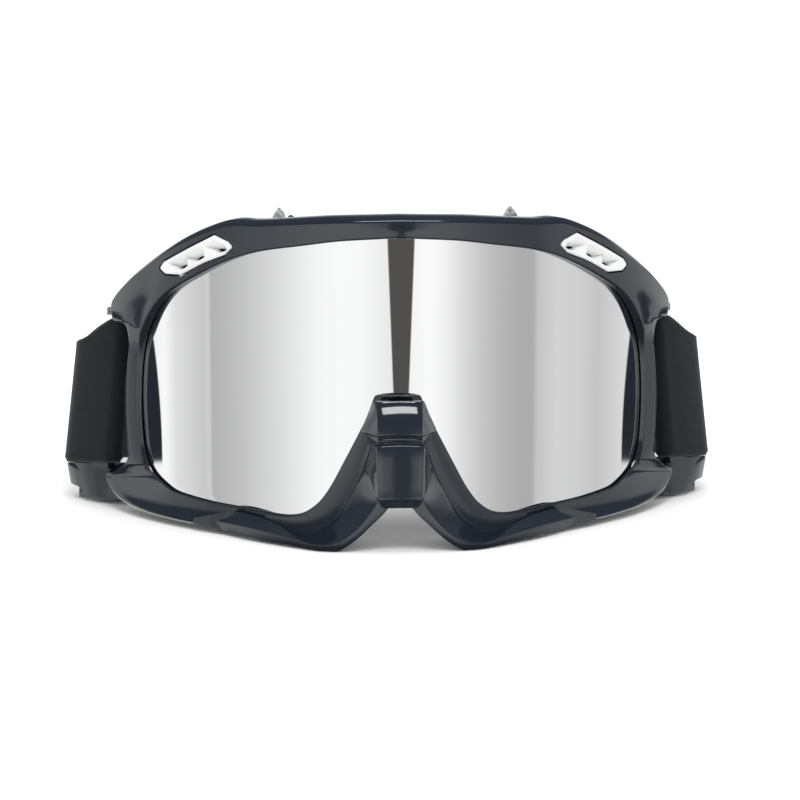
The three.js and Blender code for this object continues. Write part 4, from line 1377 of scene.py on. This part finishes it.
def wrap_path():
    """From the side of the head round the slanted bar to the inner layer beside it."""
    out = POST_THICKNESS / 2 + GAP + STRAP_THICKNESS / 2
    heading = math.atan2(POST_REAR[1] - POST_FRONT[1], POST_REAR[0] - POST_FRONT[0])
    normal = heading - math.pi / 2
    levels = [float(y) for y in np.linspace(72, STRAP_LEVEL_Y, 10)]

    def offset(p, far):
        return p[0] + far * math.cos(normal), p[1] + far * math.sin(normal)
    middle = ((POST_FRONT[0] + POST_REAR[0]) / 2, (POST_FRONT[1] + POST_REAR[1]) / 2)
    return [
        *[(bend_x(y), y) for y in reversed(levels)],
        (STRAP_FRONT_X, 68), (STRAP_FRONT_X - 0.3, 64.9),
        offset(POST_REAR, out + 0.15), offset(middle, out + 0.5),
        *arc_points(POST_FRONT, out, normal, normal - math.pi, 8),
        (POST_REAR[0] - 2.1, POST_REAR[1] + 1.5), (POST_REAR[0] - 0.6, 67.2), (POST_REAR[0] + 0.4, 69.4),
        *[(bend_x(y) - LAYER_PITCH, y) for y in levels],
    ]


def make_band():
    """The one long band: return end, round one bar, round the back of the head, and mirrored."""
    half = [tuple(p) for p in resample(list(reversed(wrap_path())), 0.8)]
    loop = [(STRAP_X * math.cos(a), REAR_CENTRE_Y + REAR_DEPTH * math.sin(a))
            for a in np.linspace(0, math.pi, 90)]
    side = [(STRAP_X, y) for y in np.linspace(STRAP_LEVEL_Y + 1, REAR_CENTRE_Y - 2, 30)]
    other = [(-x, y) for x, y in reversed(half + side)]
    band = band_mesh("strap_band", half + side + loop + other)
    finish_piece(band, WEBBING, body=None, nodes=[
        "strap_wrap_right", "strap_wrap_left", "strap_side_right", "strap_side_left", "strap_rear",
    ])
    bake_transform(band)


def hem_path():
    return [
        (RETURN_X, STRAP_LEVEL_Y + 0.02), (RETURN_X, 122), (RETURN_X, 132), (RETURN_X, SLIDER_Y - 6),
        *arc_points((BAR_X, SLIDER_Y), HEM_RADIUS, 0, math.pi, 8),
        (BAR_X - HEM_RADIUS + 0.2, SLIDER_Y - 3),
        (RETURN_X - STRAP_THICKNESS - 0.25, SLIDER_Y - 7.5),
        (RETURN_X - STRAP_THICKNESS - 0.1, SLIDER_Y - 11),
        (RETURN_X - STRAP_THICKNESS - 0.1, SLIDER_Y - 14),
    ]


def make_return(side):
    suffix = side_name(side)
    piece = band_mesh("strap_return_band_" + suffix, resample(hem_path(), 0.8), side)
    nodes = ["strap_return_" + suffix, "strap_hem_" + suffix]
    finish_piece(piece, WEBBING, body=None, nodes=nodes)
    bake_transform(piece)


def stitch_row(start, end, count, length=1.7, width=0.32):
    """Small thread loops from start to end, given as (x, y, above)."""
    points, faces = [], []
    direction = np.array(end, float) - np.array(start, float)
    direction = direction / np.linalg.norm(direction)
    across = np.array([0, -direction[2], direction[1]])
    for k in range(count):
        centre = lerp(np.array(start, float), np.array(end, float), (k + 0.5) / count)
        base = len(points)
        for i in range(7):
            f = i / 6
            along = (f - 0.5) * length
            radius = width * math.sin(math.pi * max(min(f, 0.97), 0.03)) ** 0.6
            for j in range(6):
                angle = 2 * math.pi * j / 6
                p = centre + direction * along + across * radius * math.cos(angle)
                p = p + np.array([radius * 0.8 * math.sin(angle), 0, 0])
                points.append(tuple(p))
        for i in range(6):
            for j in range(6):
                a, b = base + i * 6 + j, base + i * 6 + (j + 1) % 6
                faces.append((a, b, b + 6, a + 6))
        faces.append(tuple(base + j for j in range(6)))
        faces.append(tuple(base + 36 + j for j in reversed(range(6))))
    return points, faces


def make_stitching(side):
    suffix = side_name(side)
    x = RETURN_X - STRAP_THICKNESS * 1.5 - 0.12
    y0, y1 = SLIDER_Y - 13, SLIDER_Y - 8.5
    reach = STRAP_HEIGHT / 2 - 2.5
    rows = [
        ((x, y0, -reach), (x, y0, reach), 20),
        ((x, y1, -reach), (x, y1, reach), 20),
        ((x, y0, -reach), (x, y1, -reach), 2),
        ((x, y0, reach), (x, y1, reach), 2),
    ]
    points, faces = [], []
    for start, end, count in rows:
        new_points, new_faces = stitch_row(start, end, count)
        shift = len(points)
        points += [strap_point(*p) for p in new_points]
        faces += [tuple(i + shift for i in face) for face in new_faces]
    if side < 0:
        points = mirrored(points)
    stitches = make_object("hem_stitching_" + suffix, points, faces)
    finish_piece(stitches, THREAD, body="slider_" + suffix)


def make_grip_strips():
    """Three wavy silicone lines on the inside of the rear loop."""
    points, faces = [], []
    angles = np.linspace(0.28, math.pi - 0.28, 260)
    for level in (-12, 0, 12):
        sections = []
        for a in angles:
            x, y = STRAP_X * math.cos(a), REAR_CENTRE_Y + REAR_DEPTH * math.sin(a)
            tangent = np.array([-STRAP_X * math.sin(a), REAR_DEPTH * math.cos(a)])
            tangent = tangent / np.hypot(*tangent)
            inward = np.array([-tangent[1], tangent[0]])
            wave = level + 1.6 * math.sin(a * 46)
            section = []
            for j in range(7):
                angle = math.pi * j / 6
                away = STRAP_THICKNESS * 0.45 - 0.1 + 0.75 * math.sin(angle)
                section.append(strap_point(
                    x + inward[0] * away, y + inward[1] * away, wave + 1.25 * math.cos(angle),
                ))
            sections.append(section)
        new_points, new_faces = loft_data(sections)
        shift = len(points)
        points += new_points
        faces += [tuple(i + shift for i in face) for face in new_faces]
    strips = make_object("grip_strips", points, faces, 60)
    finish_piece(strips, SILICONE, body="rear_strap")


def mapped_box(name, low, high, side):
    sections = []
    for z in (low[2], high[2]):
        corners = ((low[0], low[1]), (high[0], low[1]), (high[0], high[1]), (low[0], high[1]))
        section = [strap_point(x, y, z) for x, y in corners]
        sections.append([(side * x, y, z) for x, y, z in section])
    return loft(name, sections)


def make_slider(side):
    suffix = side_name(side)
    reach = STRAP_HEIGHT / 2 + SLIDER_PLAY
    outer = STRAP_X + STRAP_THICKNESS / 2 + GAP
    front, rear = SLIDER_Y - SLIDER_HALF, SLIDER_Y + SLIDER_HALF
    inner = BAR_X - BAR / 2
    slider = mapped_box("slider", (inner, front, -reach - BAR), (outer + BAR, rear, -reach), side)
    boxes = [
        ((inner, front, reach), (outer + BAR, rear, reach + BAR)),
        ((outer, front, -reach - 1), (outer + BAR, front + 4, reach + 1)),
        ((outer, rear - 4, -reach - 1), (outer + BAR, rear, reach + 1)),
        ((inner, SLIDER_Y - 1.2, -reach - 1), (BAR_X + BAR / 2, SLIDER_Y + 1.2, reach + 1)),
    ]
    others = [mapped_box("bar", low, high, side) for low, high in boxes]
    for other in others:
        boolean(slider, other, "UNION")
    bevel(slider, 0.7, 3)
    tidy_mesh(slider.data, 40)
    slider.name = "tri_glide_" + suffix
    finish_piece(slider, ACETAL, body="slider_" + suffix, nodes=["strap_slider_" + suffix])


make_band()
make_grip_strips()
for side in (1, -1):
    make_return(side)
    make_stitching(side)
    make_slider(side)
